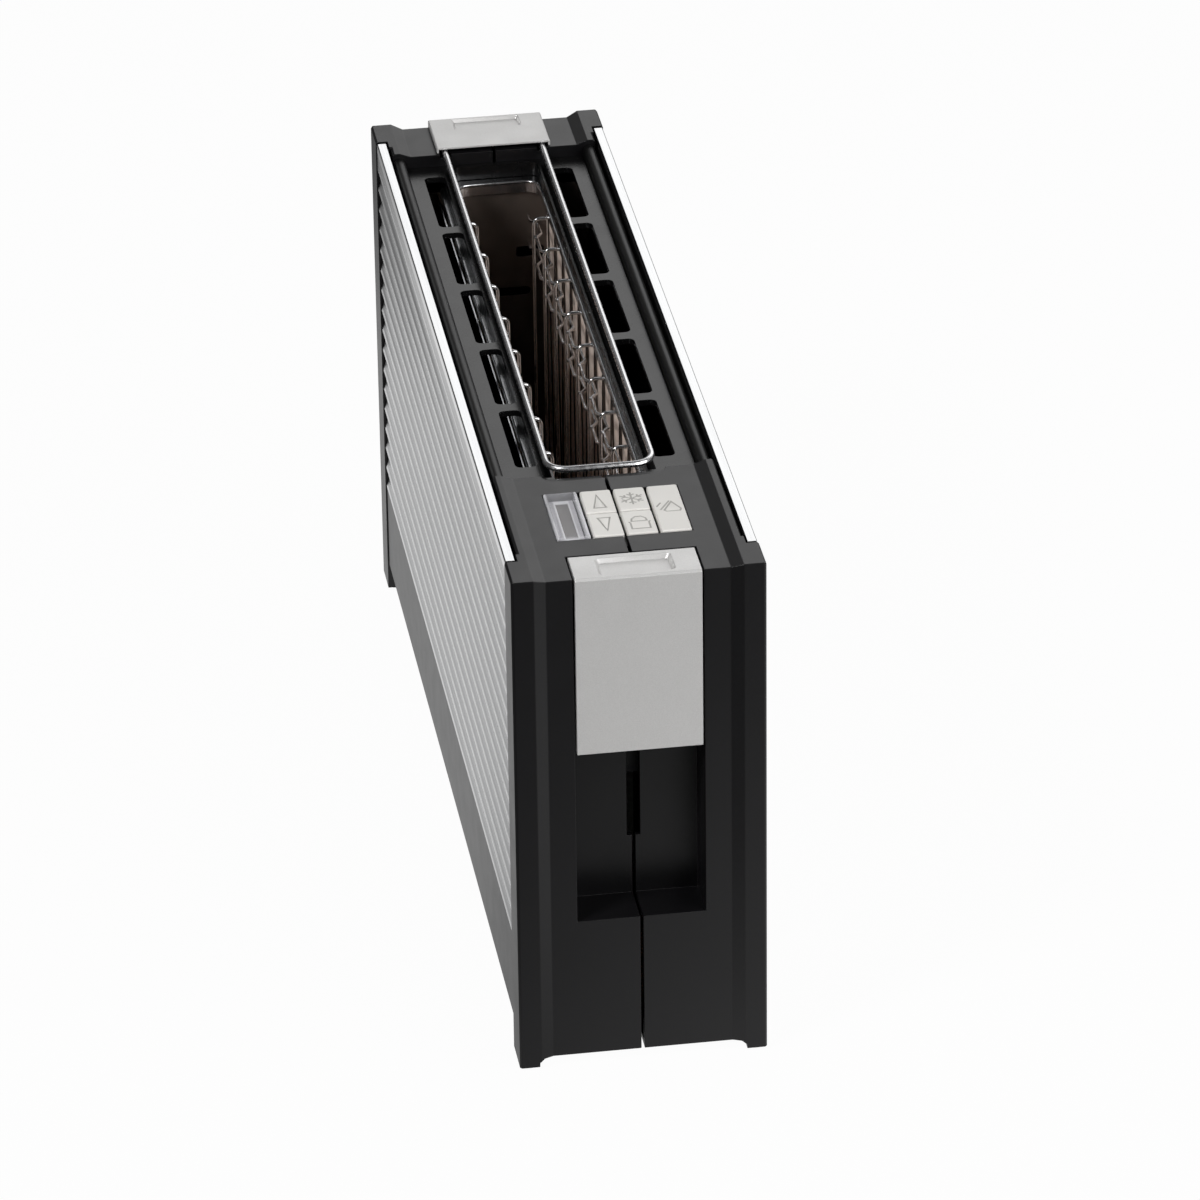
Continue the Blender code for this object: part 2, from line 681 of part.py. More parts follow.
def cap_shell(name, side, end, deck_length):
    """Half of a moulded end: wing, foot and hollow walls, with the deck that runs in to the vent."""
    plan = [
        (SEAM_X, along(end, END_SETBACK)),
        (TROUGH_X, along(end, END_SETBACK)),
        (SHOULDER_X, along(end, 0)),
        (HALF_WIDTH - EDGE, along(end, 0)),
        (HALF_WIDTH, along(end, EDGE)),
        (HALF_WIDTH, along(end, POST_LENGTH)),
        (TUCK_X, along(end, POST_LENGTH)),
        (TUCK_X, along(end, CAP_DEPTH)),
        (SEAM_X, along(end, CAP_DEPTH)),
    ]
    reach = HALF_WIDTH + OVERRUN
    elevation = [
        (SEAM_X - OVERRUN, BELLY_Z),
        (FOOT_X - FOOT_SLOPE, BELLY_Z),
        (FOOT_X, FOOT_STEP_Z),
        (FOOT_X, POST_FLOOR_Z),
        (reach, POST_FLOOR_Z),
        (reach, HEIGHT - EDGE - OVERRUN),
        (HALF_WIDTH - EDGE, HEIGHT),
        (SHOULDER_X, HEIGHT),
        (TROUGH_X, DECK_Z),
        (SEAM_X - OVERRUN, DECK_Z),
    ]
    hollow = [
        (SEAM_X - OVERRUN, along(end, END_SETBACK + WALL)),
        (HALF_WIDTH - WALL, along(end, END_SETBACK + WALL)),
        (HALF_WIDTH - WALL, along(end, POST_LENGTH - WALL)),
        (TUCK_X - WALL, along(end, POST_LENGTH - WALL)),
        (TUCK_X - WALL, along(end, CAP_DEPTH + OVERRUN)),
        (SEAM_X - OVERRUN, along(end, CAP_DEPTH + OVERRUN)),
    ]
    deck_inner_x = DECK_SIDE_X - WALL
    deck = [
        (SEAM_X, DECK_UNDER_Z),
        (deck_inner_x, DECK_UNDER_Z),
        (deck_inner_x, DECK_FLANGE_Z),
        (DECK_SIDE_X, DECK_FLANGE_Z),
        (DECK_SIDE_X, HEIGHT - EDGE),
        (DECK_SIDE_X - EDGE, HEIGHT),
        (SHOULDER_X, HEIGHT),
        (TROUGH_X, DECK_Z),
        (SEAM_X, DECK_Z),
    ]
    cap = prism(name, mirrored(plan, side), place_z, 0, HEIGHT + OVERRUN)
    profile = prism(name + "_profile", mirrored(elevation, side), place_y,
                    along(end, -OVERRUN), along(end, CAP_DEPTH + OVERRUN))
    room = prism(name + "_room", mirrored(hollow, side), place_z, CAP_FLOOR_Z, DECK_UNDER_Z)
    roof = prism(name + "_deck", mirrored(deck, side), place_y,
                 along(end, CAP_DEPTH - WALL), along(end, deck_length))
    apron = box(name + "_apron", side * SEAM_X, side * (DECK_SIDE_X - WALL / 2),
                along(end, deck_length - WALL), along(end, deck_length), DECK_FLANGE_Z, DECK_Z - WALL / 2)
    pocket = prism(name + "_pad_pocket", mirrored(pad_outline(end, FIT), side), place_z,
                   -OVERRUN, PAD_HEIGHT + FIT)
    boolean(cap, "INTERSECT", [profile])
    cut(cap, room)
    join(cap, roof, apron)
    cut(cap, pocket)
    return finish(cap, BLACK_PLASTIC)


def pad_outline(end, gap):
    """Outline of a rubber foot, or of its pocket with a gap all round."""
    return rounded(FOOT_X + PAD_INSET - gap, HALF_WIDTH - PAD_INSET + gap,
                   along(end, PAD_END_INSET - gap), along(end, POST_LENGTH - PAD_END_INSET + gap),
                   PAD_CORNER + gap)


def front_caps():
    """Lever end: a recess for the lever, a slot for its stem, the keypad opening and the rack notch."""
    recess = box("lever_recess", -RECESS_HALF, RECESS_HALF, along(FRONT, -OVERRUN),
                 along(FRONT, RECESS_DEPTH), RECESS_FLOOR_Z, HEIGHT + OVERRUN)
    slot_half = STEM_HALF + STEM_SIDE_GAP
    slot = box("stem_slot", -slot_half, slot_half, along(FRONT, RECESS_DEPTH - OVERRUN),
               along(FRONT, CAP_DEPTH + OVERRUN), STEM_FLOOR_Z - TRAVEL - STEM_END_GAP,
               STEM_TOP_Z + STEM_END_GAP)
    keypad = box("keypad_opening", -KEYPAD_HALF, KEYPAD_HALF, along(FRONT, KEYPAD_FRONT_DEPTH),
                 along(FRONT, KEYPAD_BACK_DEPTH), DECK_UNDER_Z - OVERRUN, DECK_Z + OVERRUN)
    notch_back_y = along(FRONT, FRONT_DECK_LENGTH) + OVERRUN + NOTCH_CORNER
    notch = prism("rack_notch", rounded(-NOTCH_HALF, NOTCH_HALF, along(FRONT, NOTCH_FRONT_DEPTH),
                                        notch_back_y, NOTCH_CORNER),
                  place_z, NOTCH_Z, HEIGHT + OVERRUN)
    for side, word in SIDES:
        name = "front_cap_" + word
        cap = cap_shell(name, side, FRONT, FRONT_DECK_LENGTH)
        case = box(name + "_recess_case", side * SEAM_X, side * (RECESS_HALF + WALL),
                   along(FRONT, END_SETBACK + WALL / 2), along(FRONT, CAP_DEPTH),
                   RECESS_FLOOR_Z - WALL, DECK_Z - WALL / 2)
        join(cap, case)
        cut(cap, recess, slot, keypad, notch)


def rear_caps():
    """Rear end: a finger recess, slots for the rack's legs, wire grooves and the tray opening."""
    leg_slots = []
    grooves = []
    for side, word in SIDES:
        inner_x = side * (LEG_X - LEG_WIDTH / 2 - LEG_SLOT_GAP)
        outer_x = side * (LEG_X + LEG_WIDTH / 2 + LEG_SLOT_GAP)
        leg_slots.append(rectangle(inner_x, outer_x, along(REAR, LEG_DEPTH - LEG_SLOT_GAP),
                                   along(REAR, LEG_DEPTH + LEG_LENGTH + LEG_SLOT_GAP)))
        grooves.append(rectangle(side * (RACK_X - GROOVE_HALF), side * (RACK_X + GROOVE_HALF),
                                 along(REAR, GROOVE_REAR_DEPTH), along(REAR, REAR_DECK_LENGTH + OVERRUN)))
    legs = prisms("leg_slots", leg_slots, place_z, DECK_UNDER_Z - OVERRUN, DECK_Z + OVERRUN)
    channels = prisms("wire_grooves", grooves, place_z, NOTCH_Z, DECK_Z + OVERRUN)
    fingers = box("finger_recess", -FINGER_HALF, FINGER_HALF, along(REAR, -OVERRUN),
                  along(REAR, END_SETBACK + FINGER_DEPTH), FINGER_FLOOR_Z, FINGER_TOP_Z)
    opening = box("tray_opening", -DOOR_HALF - DOOR_GAP, DOOR_HALF + DOOR_GAP, along(REAR, -OVERRUN),
                  along(REAR, END_SETBACK + WALL + OVERRUN), FLOOR_Z - FIT, DOOR_TOP_Z + DOOR_GAP)
    for side, word in SIDES:
        name = "rear_cap_" + word
        cap = cap_shell(name, side, REAR, REAR_DECK_LENGTH)
        case = box(name + "_finger_case", side * SEAM_X, side * (FINGER_HALF + WALL),
                   along(REAR, END_SETBACK + WALL / 2), along(REAR, END_SETBACK + FINGER_DEPTH + WALL),
                   FINGER_FLOOR_Z - WALL, FINGER_TOP_Z + WALL)
        join(cap, case)
        cut(cap, fingers, legs, channels, opening)


def foot_pads():
    for side, word in SIDES:
        for end, end_word in ENDS:
            outline = mirrored(pad_outline(end, 0), side)
            finish(prism(f"foot_pad_{end_word}_{word}", outline, place_z, 0, PAD_HEIGHT), RUBBER)


def flute_outline():
    """Narrow crests with round valleys between them, from the rail down to the panel's foot."""
    points = []
    top_z = RAIL_FLOOR_Z
    pitch = (top_z - PANEL_FLOOR_Z) / FLUTE_COUNT
    for flute in range(FLUTE_COUNT):
        for step in range(FLUTE_STEPS):
            share = step / FLUTE_STEPS
            depth = FLUTE_DEPTH * math.sin(math.pi * share)
            points.append((PANEL_X - depth, top_z - pitch * (flute + share)))
    points.append((PANEL_X, PANEL_FLOOR_Z))
    return points


def side_panels():
    """Fluted extrusions whose top edge folds in as a bright rail."""
    rail = [
        (RAIL_X, RAIL_FLOOR_Z),
        (RAIL_X, RAIL_TOP_Z),
        (PANEL_X - RAIL_EDGE, RAIL_TOP_Z),
        (PANEL_X, RAIL_TOP_Z - RAIL_EDGE),
    ]
    back = [(PANEL_BACK_X, PANEL_FLOOR_Z), (PANEL_BACK_X, RAIL_FLOOR_Z)]
    outline = rail + flute_outline() + back
    for side, word in SIDES:
        panel = prism("side_panel_" + word, mirrored(outline, side), place_y,
                      along(FRONT, PANEL_DEPTH), along(REAR, PANEL_DEPTH))
        finish(smooth(panel), ALUMINIUM)


def skirts():
    """C-shaped strips between the side panels and the floor."""
    outer_x = HALF_WIDTH - SKIRT_INSET
    flange_x = WEB_OUTER_X + FIT
    top_z = PANEL_FLOOR_Z - FIT
    outline = [
        (flange_x, SKIRT_FLOOR_Z),
        (outer_x, SKIRT_FLOOR_Z),
        (outer_x, top_z),
        (flange_x, top_z),
        (flange_x, top_z - SKIRT_WALL),
        (outer_x - SKIRT_WALL, top_z - SKIRT_WALL),
        (outer_x - SKIRT_WALL, SKIRT_FLOOR_Z + SKIRT_WALL),
        (flange_x, SKIRT_FLOOR_Z + SKIRT_WALL),
    ]
    for side, word in SIDES:
        skirt = prism("skirt_" + word, mirrored(outline, side), place_y,
                      along(FRONT, PANEL_DEPTH), along(REAR, PANEL_DEPTH))
        tucks = [rectangle(side * (flange_x - OVERRUN), side * (TUCK_X + FIT),
                           along(end, PANEL_DEPTH - OVERRUN), along(end, INNER_DEPTH))
                 for end in (FRONT, REAR)]
        cut(skirt, prisms("skirt_tucks_" + word, tucks, place_z, SKIRT_FLOOR_Z - OVERRUN, top_z + OVERRUN))
        finish(skirt, BLACK_PLASTIC)


def inner_walls():
    """Structural walls with a foot flange, ribs that back the panels, a ledge and a round ridge bar."""
    rib_x = PANEL_BACK_X - FIT
    rib_top_z = RAIL_FLOOR_Z - RIB_TOP_GAP
    rib_floors = (RIB_BOTTOM_Z, (RIB_BOTTOM_Z + rib_top_z - RIB_HEIGHT) / 2, rib_top_z - RIB_HEIGHT)
    outline = [(WEB_OUTER_X - FLANGE_REACH, FLOOR_Z), (WEB_OUTER_X, FLOOR_Z)]
    for z in rib_floors:
        outline += [(WEB_OUTER_X, z), (rib_x, z), (rib_x, z + RIB_HEIGHT), (WEB_OUTER_X, z + RIB_HEIGHT)]
    outline += [(WEB_OUTER_X, LEDGE_FLOOR_Z), (RIDGE_X + RIDGE_RADIUS, LEDGE_FLOOR_Z)]
    outline += arc(RIDGE_X, RIDGE_Z, RIDGE_RADIUS, 0, 2, 2 * CORNER_STEPS)
    ledge_x = RIDGE_INNER_X - LEDGE_REACH
    outline += [
        (RIDGE_INNER_X, LEDGE_TOP_Z),
        (ledge_x, LEDGE_TOP_Z),
        (ledge_x, LEDGE_FLOOR_Z),
        (WEB_INNER_X, LEDGE_FLOOR_Z),
        (WEB_INNER_X, FLANGE_TOP_Z),
        (WEB_OUTER_X - FLANGE_REACH, FLANGE_TOP_Z),
    ]
    for side, word in SIDES:
        name = "inner_wall_" + word
        wall = prism(name, mirrored(outline, side), place_y,
                     along(FRONT, INNER_DEPTH), along(REAR, INNER_DEPTH))
        ends = [rectangle(side * (ledge_x - OVERRUN), side * (rib_x + OVERRUN),
                          along(end, INNER_DEPTH - OVERRUN), along(end, deck_length + FIT))
                for end, deck_length in ((FRONT, FRONT_DECK_LENGTH), (REAR, REAR_DECK_LENGTH))]
        cut(wall, prisms(name + "_ends", ends, place_z, DECK_FLANGE_Z - FIT, HEIGHT))
        holes = [circle(side * screw_x(), y, SCREW_RADIUS + FIT) for y in screw_rows()]
        cut(wall, prisms(name + "_screw_holes", holes, place_z, FLOOR_Z - OVERRUN, FLANGE_TOP_Z + OVERRUN))
        finish(smooth(wall), BLACK_PLASTIC)


def screw_x():
    """The screws stand in the middle of the walls' foot flanges."""
    return WEB_OUTER_X - FLANGE_REACH / 2


def screw_rows():
    first = along(FRONT, SCREW_END_DEPTH)
    pitch = (along(REAR, SCREW_END_DEPTH) - first) / (SCREWS_PER_SIDE - 1)
    return [first + pitch * row for row in range(SCREWS_PER_SIDE)]


def base_plate():
    """Flat floor between the ends, with air slots, screw holes and the cord hole."""
    half = WEB_OUTER_X - FIT
    plate = box("base_plate", -half, half, along(FRONT, INNER_DEPTH), along(REAR, INNER_DEPTH),
                BASE_Z, BASE_TOP_Z)
    slots = []
    holes = [circle(0, along(FRONT, GLAND_DEPTH), GLAND_RADIUS + FIT)]
    slot_outer_x = WEB_OUTER_X - FLANGE_REACH - AIR_SLOT_WALL_GAP
    slot_end = AIR_SLOT_WIDTH * AIR_SLOT_END_SHARE
    for side, word in SIDES:
        for row in range(AIR_SLOT_COUNT):
            y = along(FRONT, AIR_SLOT_END_DEPTH) + AIR_SLOT_PITCH * row
            slots.append(rounded(side * (slot_outer_x - AIR_SLOT_WIDTH), side * slot_outer_x,
                                 y - AIR_SLOT_LENGTH / 2, y + AIR_SLOT_LENGTH / 2, slot_end, 2))
        holes += [circle(side * screw_x(), y, SCREW_RADIUS + FIT) for y in screw_rows()]
    cut(plate, prisms("base_air_slots", slots, place_z, BASE_Z - OVERRUN, BASE_TOP_Z + OVERRUN),
        prisms("base_holes", holes, place_z, BASE_Z - OVERRUN, BASE_TOP_Z + OVERRUN))
    finish(plate, GREY_STEEL)


def housing_screws():
    """Screws that hold the base plate to the inner walls' flanges."""
    head_top_z = BASE_Z - FIT
    profile = [
        (SCREW_HEAD_RADIUS, head_top_z - SCREW_HEAD_HEIGHT),
        (SCREW_HEAD_RADIUS, head_top_z),
        (SCREW_RADIUS, head_top_z),
        (SCREW_RADIUS, FLANGE_TOP_Z),
    ]
    for side, word in SIDES:
        for row, y in enumerate(screw_rows(), start=1):
            rings = [level(circle(side * screw_x(), y, radius, SCREW_SIDES), z) for radius, z in profile]
            finish(smooth(skin(f"housing_screw_{word}_{row}", rings)), GREY_STEEL)


def cord_gland():
    """Rubber grommet gripping the base plate, with a free bore for the mains lead."""
    flange = GLAND_RADIUS + GLAND_FLANGE
    y = along(FRONT, GLAND_DEPTH)
    low_z = BASE_Z - FIT
    high_z = BASE_TOP_Z + FIT
    profile = [
        (GLAND_BORE, low_z - GLAND_FLANGE_HEIGHT),
        (flange, low_z - GLAND_FLANGE_HEIGHT),
        (flange, low_z),
        (GLAND_RADIUS, low_z),
        (GLAND_RADIUS, high_z),
        (flange, high_z),
        (flange, high_z + GLAND_FLANGE_HEIGHT),
        (GLAND_BORE, high_z + GLAND_FLANGE_HEIGHT),
    ]
    gland = skin("cord_gland", [level(circle(0, y, radius), z) for radius, z in profile], looped=True)
    finish(smooth(gland), RUBBER)


def vent_cover():
    """Black grille over the chamber: the bread slot with its collar, a groove under each wire of the
    rack, and five windows a side."""
    half = RIDGE_INNER_X - VENT_SIDE_GAP
    slot_half = SLOT_HALF + VENT_SLOT_GAP
    slot_front_y = along(FRONT, FRONT_DECK_LENGTH + VENT_SLOT_FRONT_GAP)
    slot_rear_y = along(REAR, REAR_DECK_LENGTH + VENT_SLOT_REAR_GAP)
    cover = box("vent_cover", -half, half, along(FRONT, FRONT_DECK_LENGTH + FIT),
                along(REAR, REAR_DECK_LENGTH + FIT), VENT_UNDER_Z, VENT_TOP_Z)
    collar_half = WINDOW_INNER_X - RACK_GROOVE_LAND
    collar = prism("vent_collar", rounded(-collar_half, collar_half,
                                          slot_front_y - VENT_COLLAR, slot_rear_y + VENT_COLLAR,
                                          VENT_SLOT_CORNER + VENT_COLLAR),
                   place_z, LINER_TOP_Z + FIT, VENT_TOP_Z - VENT_THICKNESS / 2)
    slot = prism("vent_slot", rounded(-slot_half, slot_half, slot_front_y, slot_rear_y, VENT_SLOT_CORNER),
                 place_z, LINER_TOP_Z - OVERRUN, VENT_TOP_Z + OVERRUN)
    first = along(FRONT, WINDOW_FRONT_DEPTH)
    run = along(REAR, WINDOW_REAR_DEPTH) - first
    length = (run - WINDOW_BRIDGE * (WINDOW_COUNT - 1)) / WINDOW_COUNT
    windows = []
    for side, word in SIDES:
        for row in range(WINDOW_COUNT):
            y = first + (length + WINDOW_BRIDGE) * row
            windows.append(rounded(side * WINDOW_INNER_X, side * WINDOW_OUTER_X, y, y + length,
                                   WINDOW_CORNER))
    groove_x = slot_half + VENT_EDGE
    groove_z = VENT_TOP_Z - RACK_GROOVE_FALL
    slope = (collar_half - groove_x) / RACK_GROOVE_FALL
    groove = [
        (groove_x, groove_z),
        (collar_half + slope * OVERRUN, VENT_TOP_Z + OVERRUN),
        (groove_x, VENT_TOP_Z + OVERRUN),
    ]
    grooves = prisms("rack_grooves", [mirrored(groove, side) for side, word in SIDES], place_y,
                     slot_front_y + RACK_GROOVE_END_GAP, slot_rear_y - RACK_GROOVE_END_GAP)
    join(cover, collar)
    cut(cover, slot, prisms("vent_windows", windows, place_z, VENT_UNDER_Z - OVERRUN, VENT_TOP_Z + OVERRUN),
        grooves)
    finish(cover, BLACK_GRILLE)


def slot_liner():
    """Bright pressed ring round the bread slot: a half-round bead, a lip down inside and a turned-down
    outer edge."""
    front_y = along(FRONT, LINER_FRONT_DEPTH)
    rear_y = along(REAR, LINER_REAR_DEPTH)
    under_z = LINER_TOP_Z - LINER_SHEET
    bead = arc(0, LINER_TOP_Z - LINER_BEAD, LINER_BEAD, 3, 1, BEAD_STEPS)
    profile = [(0, LINER_FLOOR_Z)] + bead + [
        (LINER_FLANGE, LINER_TOP_Z),
        (LINER_FLANGE, LINER_TOP_Z - LINER_TURN),
        (LINER_FLANGE - LINER_SHEET, LINER_TOP_Z - LINER_TURN),
        (LINER_FLANGE - LINER_SHEET, under_z),
        (LINER_SHEET, under_z),
        (LINER_SHEET, LINER_FLOOR_Z),
    ]
    rings = []
    for reach, z in profile:
        outline = rounded(-SLOT_HALF - reach, SLOT_HALF + reach, front_y - reach, rear_y + reach,
                          LINER_CORNER + reach)
        rings.append(level(outline, z))
    finish(smooth(skin("slot_liner", rings, looped=True)), BRIGHT_STEEL)


def spine_slot(name, y0, y1):
    """Slot for the bread rack's spine, as long as its travel."""
    half = SPINE_HALF + SPINE_SIDE_GAP
    return box(name, -half, half, y0, y1, SPINE_FLOOR_Z - TRAVEL - SPINE_END_GAP, SPINE_TOP_Z + SPINE_END_GAP)


def chamber_ends():
    """Sheet walls across both ends of the toasting chamber, lower where the liner's edge turns down."""
    bend = LINER_CORNER + LINER_FLANGE - LINER_SHEET - FIT
    offset = LINER_CORNER + LINER_SHEET + FIT + CHAMBER_SHEET
    shoulder_x = SLOT_HALF - LINER_CORNER + math.sqrt(bend ** 2 - offset ** 2) - FIT
    shoulder_z = LINER_TOP_Z - LINER_TURN - FIT
    outline = [
        (-CHAMBER_HALF, CHAMBER_FLOOR_Z),
        (CHAMBER_HALF, CHAMBER_FLOOR_Z),
        (CHAMBER_HALF, shoulder_z),
        (shoulder_x, shoulder_z),
        (shoulder_x, CHAMBER_TOP_Z),
        (-shoulder_x, CHAMBER_TOP_Z),
        (-shoulder_x, shoulder_z),
        (-CHAMBER_HALF, shoulder_z),
    ]
    for end, word, depth in ((FRONT, "front", CHAMBER_FRONT_DEPTH), (REAR, "rear", CHAMBER_REAR_DEPTH)):
        name = "chamber_end_" + word
        inner_y = along(end, depth)
        outer_y = along(end, depth - CHAMBER_SHEET)
        run_in_y = along(end, depth + OVERRUN)
        run_out_y = along(end, depth - CHAMBER_SHEET - OVERRUN)
        wall = prism(name, outline, place_y, inner_y, outer_y)
        cut(wall, spine_slot(name + "_spine_slot", run_in_y, run_out_y))
        if end == REAR:
            half = TRAY_HALF + TRAY_CLEARANCE
            cut(wall, box(name + "_tray_gap", -half, half, run_in_y, run_out_y,
                          CHAMBER_FLOOR_Z - OVERRUN, TRAY_TOP_Z + TRAY_CLEARANCE))
            slits = [rounded(-VIEW_SLIT_HALF, VIEW_SLIT_HALF, VIEW_SLIT_Z - VIEW_SLIT_HEIGHT / 2,
                             VIEW_SLIT_Z + VIEW_SLIT_HEIGHT / 2, VIEW_SLIT_HEIGHT * SLIT_END_SHARE)]
            for side, side_word in SIDES:
                slits.append(rounded(side * HOOK_SLOT_INNER_X, side * HOOK_SLOT_OUTER_X,
                                     HOOK_SLOT_Z - HOOK_SLOT_HEIGHT / 2, HOOK_SLOT_Z + HOOK_SLOT_HEIGHT / 2,
                                     HOOK_SLOT_HEIGHT / 4))
            cut(wall, prisms(name + "_slits", slits, place_y, run_in_y, run_out_y))
        finish(wall, DARK_STEEL)


def heaters():
    """Reflector, mica card and heating ribbon on each side of the chamber."""
    front_y = along(FRONT, CHAMBER_FRONT_DEPTH + FIT)
    rear_y = along(REAR, CHAMBER_REAR_DEPTH + FIT)
    reflector = [
        (REFLECTOR_X, REFLECTOR_TOP_Z),
        (REFLECTOR_X + REFLECTOR_SHEET, REFLECTOR_TOP_Z),
        (REFLECTOR_X + REFLECTOR_SHEET, REFLECTOR_BEND_Z),
        (REFLECTOR_FOOT_X + REFLECTOR_SHEET, REFLECTOR_FOOT_Z),
        (REFLECTOR_FOOT_X, REFLECTOR_FOOT_Z),
        (REFLECTOR_X, REFLECTOR_BEND_Z),
    ]
    ribbon_x = MICA_X - FIT
    zigzag = ribbon_outline(front_y + RIBBON_END_GAP, rear_y - RIBBON_END_GAP)
    for side, word in SIDES:
        finish(prism("reflector_" + word, mirrored(reflector, side), place_y, front_y, rear_y), BRIGHT_STEEL)
        finish(box("mica_card_" + word, side * MICA_X, side * (MICA_X + MICA_SHEET), front_y, rear_y,
                   MICA_FLOOR_Z, MICA_TOP_Z), MICA)
        finish(prism("heater_ribbon_" + word, zigzag, place_x, side * ribbon_x,
                     side * (ribbon_x - RIBBON_SHEET)), HEATER_ALLOY)


def ribbon_outline(front_y, rear_y):
    """A flat ribbon that zigzags over the card, with a short level run at each turn."""
    path = []
    for turn in range(RIBBON_RUNS + 1):
        y = front_y + (rear_y - front_y) * turn / RIBBON_RUNS
        z = RIBBON_TOP_Z if turn % 2 else RIBBON_FLOOR_Z
        path += [(y - RIBBON_TURN / 2, z), (y + RIBBON_TURN / 2, z)]
    return strip_outline(path, RIBBON_WIDTH)


def strip_outline(path, width):
    """Outline of a strip of even width along a flat path, with mitred corners."""
    normals = []
    for (a0, b0), (a1, b1) in zip(path, path[1:]):
        run = math.hypot(a1 - a0, b1 - b0)
        normals.append(Vector(((b0 - b1) / run, (a1 - a0) / run)))
    before = [normals[0]] + normals
    after = normals + [normals[-1]]
    upper = []
    lower = []
    for (a, b), first, second in zip(path, before, after):
        mitre = (first + second) * (width / 2) / (1 + first.dot(second))
        upper.append((a + mitre.x, b + mitre.y))
        lower.append((a - mitre.x, b - mitre.y))
    return lower + upper[::-1]


def guard_rows():
    """Places of the upright wires along the chamber."""
    first = along(FRONT, GUARD_FIRST_DEPTH)
    return [first + GUARD_PITCH * row for row in range(GUARD_COUNT)]


def crimped_path(side, z, start_y, end_y):
    """A bar welded behind each upright, which steps out towards the heater between them."""
    bar_x = GUARD_X + GUARD_WELD
    path = [(side * bar_x, start_y, z)]
    for y in guard_rows():
        path.append((side * bar_x, y, z))
        for share, reach in CRIMP_SHARES:
            path.append((side * (bar_x + CRIMP_REACH * reach), y + GUARD_PITCH * share, z))
    path.append((side * bar_x, end_y, z))
    return path


def guards():
    """Wire cages: hooked uprights joined by two crimped bars and a straight foot bar."""
    start_y = along(FRONT, CHAMBER_FRONT_DEPTH + BAR_END_GAP)
    end_y = along(REAR, CHAMBER_REAR_DEPTH + BAR_END_GAP)
    bend = arc(GUARD_X + GUARD_BEND, HOOK_Z - GUARD_BEND, GUARD_BEND, 1, 2, 3)
    hook_x = REFLECTOR_X - GUARD_HOOK_GAP
    for side, word in SIDES:
        uprights = []
        for y in guard_rows():
            path = [(side * hook_x, y, HOOK_Z)]
            path += [(side * x, y, z) for x, z in bend]
            path.append((side * GUARD_X, y, GUARD_FLOOR_Z))
            uprights.append(path)
        foot_x = side * (GUARD_X + GUARD_WELD)
        bars = [
            crimped_path(side, BAR_UPPER_Z, start_y, end_y),
            crimped_path(side, BAR_LOWER_Z, start_y, end_y),
            [(foot_x, start_y, BAR_FOOT_Z), (foot_x, end_y, BAR_FOOT_Z)],
        ]
        guard = wire_mesh("guard_" + word, uprights, GUARD_WIRE)
        join(guard, wire_mesh("guard_bars_" + word, bars, GUARD_WIRE))
        finish(smooth(guard), BRIGHT_STEEL)


def lever_cover():
    """Silver lever: a thin front plate, a thick top with a thumb dish and two short side flanges."""
    front_y = along(FRONT, COVER_INSET)
    back_y = along(FRONT, COVER_INSET + COVER_REACH)
    plate_y = along(FRONT, COVER_INSET + COVER_SHEET)
    outline = [
        (front_y, COVER_FLOOR_Z),
        (plate_y, COVER_FLOOR_Z),
        (plate_y, COVER_TOP_Z - COVER_BLOCK),
        (back_y, COVER_TOP_Z - COVER_BLOCK),
        (back_y, COVER_TOP_Z - EDGE),
        (back_y - EDGE, COVER_TOP_Z),
        (front_y + EDGE, COVER_TOP_Z),
        (front_y, COVER_TOP_Z - EDGE),
    ]
    cover = prism("lever_cover", outline, place_x, -COVER_HALF, COVER_HALF)
    for side, word in SIDES:
        flange = box("lever_flange_" + word, side * (COVER_HALF - COVER_FLANGE_WALL), side * COVER_HALF,
                     front_y + COVER_SHEET / 2, front_y + COVER_FLANGE, COVER_FLOOR_Z,
                     COVER_TOP_Z - COVER_BLOCK / 2)
        join(cover, flange)
    dish_front_y = front_y + DISH_FRONT_WALL
    dish_back_y = back_y - DISH_BACK_WALL
    dish = tapered("lever_dish", -DISH_HALF, DISH_HALF, dish_front_y, dish_back_y, DISH_CORNER, DISH_SLOPE,
                   COVER_TOP_Z - DISH_DEPTH, COVER_TOP_Z)
    finish(cut(cover, dish), SILVER_PLASTIC)


def tapered(name, x0, x1, y0, y1, corner, slope, floor_z, top_z):
    """Cutter for a dish whose walls lean in towards its floor."""
    floor = rounded(x0 + slope, x1 - slope, y0 + slope, y1 - slope, corner)
    rim = rounded(x0, x1, y0, y1, corner)
    return skin(name, [level(floor, floor_z), level(rim, top_z), level(rim, top_z + OVERRUN)])


def lever_stem():
    """Blade through the recess wall that ties the lever cover to the carriage."""
    front_y = along(FRONT, COVER_INSET + COVER_SHEET + FIT)
    plate_y = front_y + STEM_PLATE_THICKNESS
    back_y = along(FRONT, CARRIAGE_DEPTH - FIT)
    outline = [
        (-STEM_PLATE_HALF, front_y),
        (STEM_PLATE_HALF, front_y),
        (STEM_PLATE_HALF, plate_y),
        (STEM_HALF, plate_y),
        (STEM_HALF, back_y),
        (-STEM_HALF, back_y),
        (-STEM_HALF, plate_y),
        (-STEM_PLATE_HALF, plate_y),
    ]
    finish(prism("lever_stem", outline, place_z, STEM_FLOOR_Z, STEM_TOP_Z), GREY_STEEL)


def rod_y():
    """The guide rods run through the middle of the carriage."""
    return along(FRONT, CARRIAGE_DEPTH + CARRIAGE_LENGTH / 2)


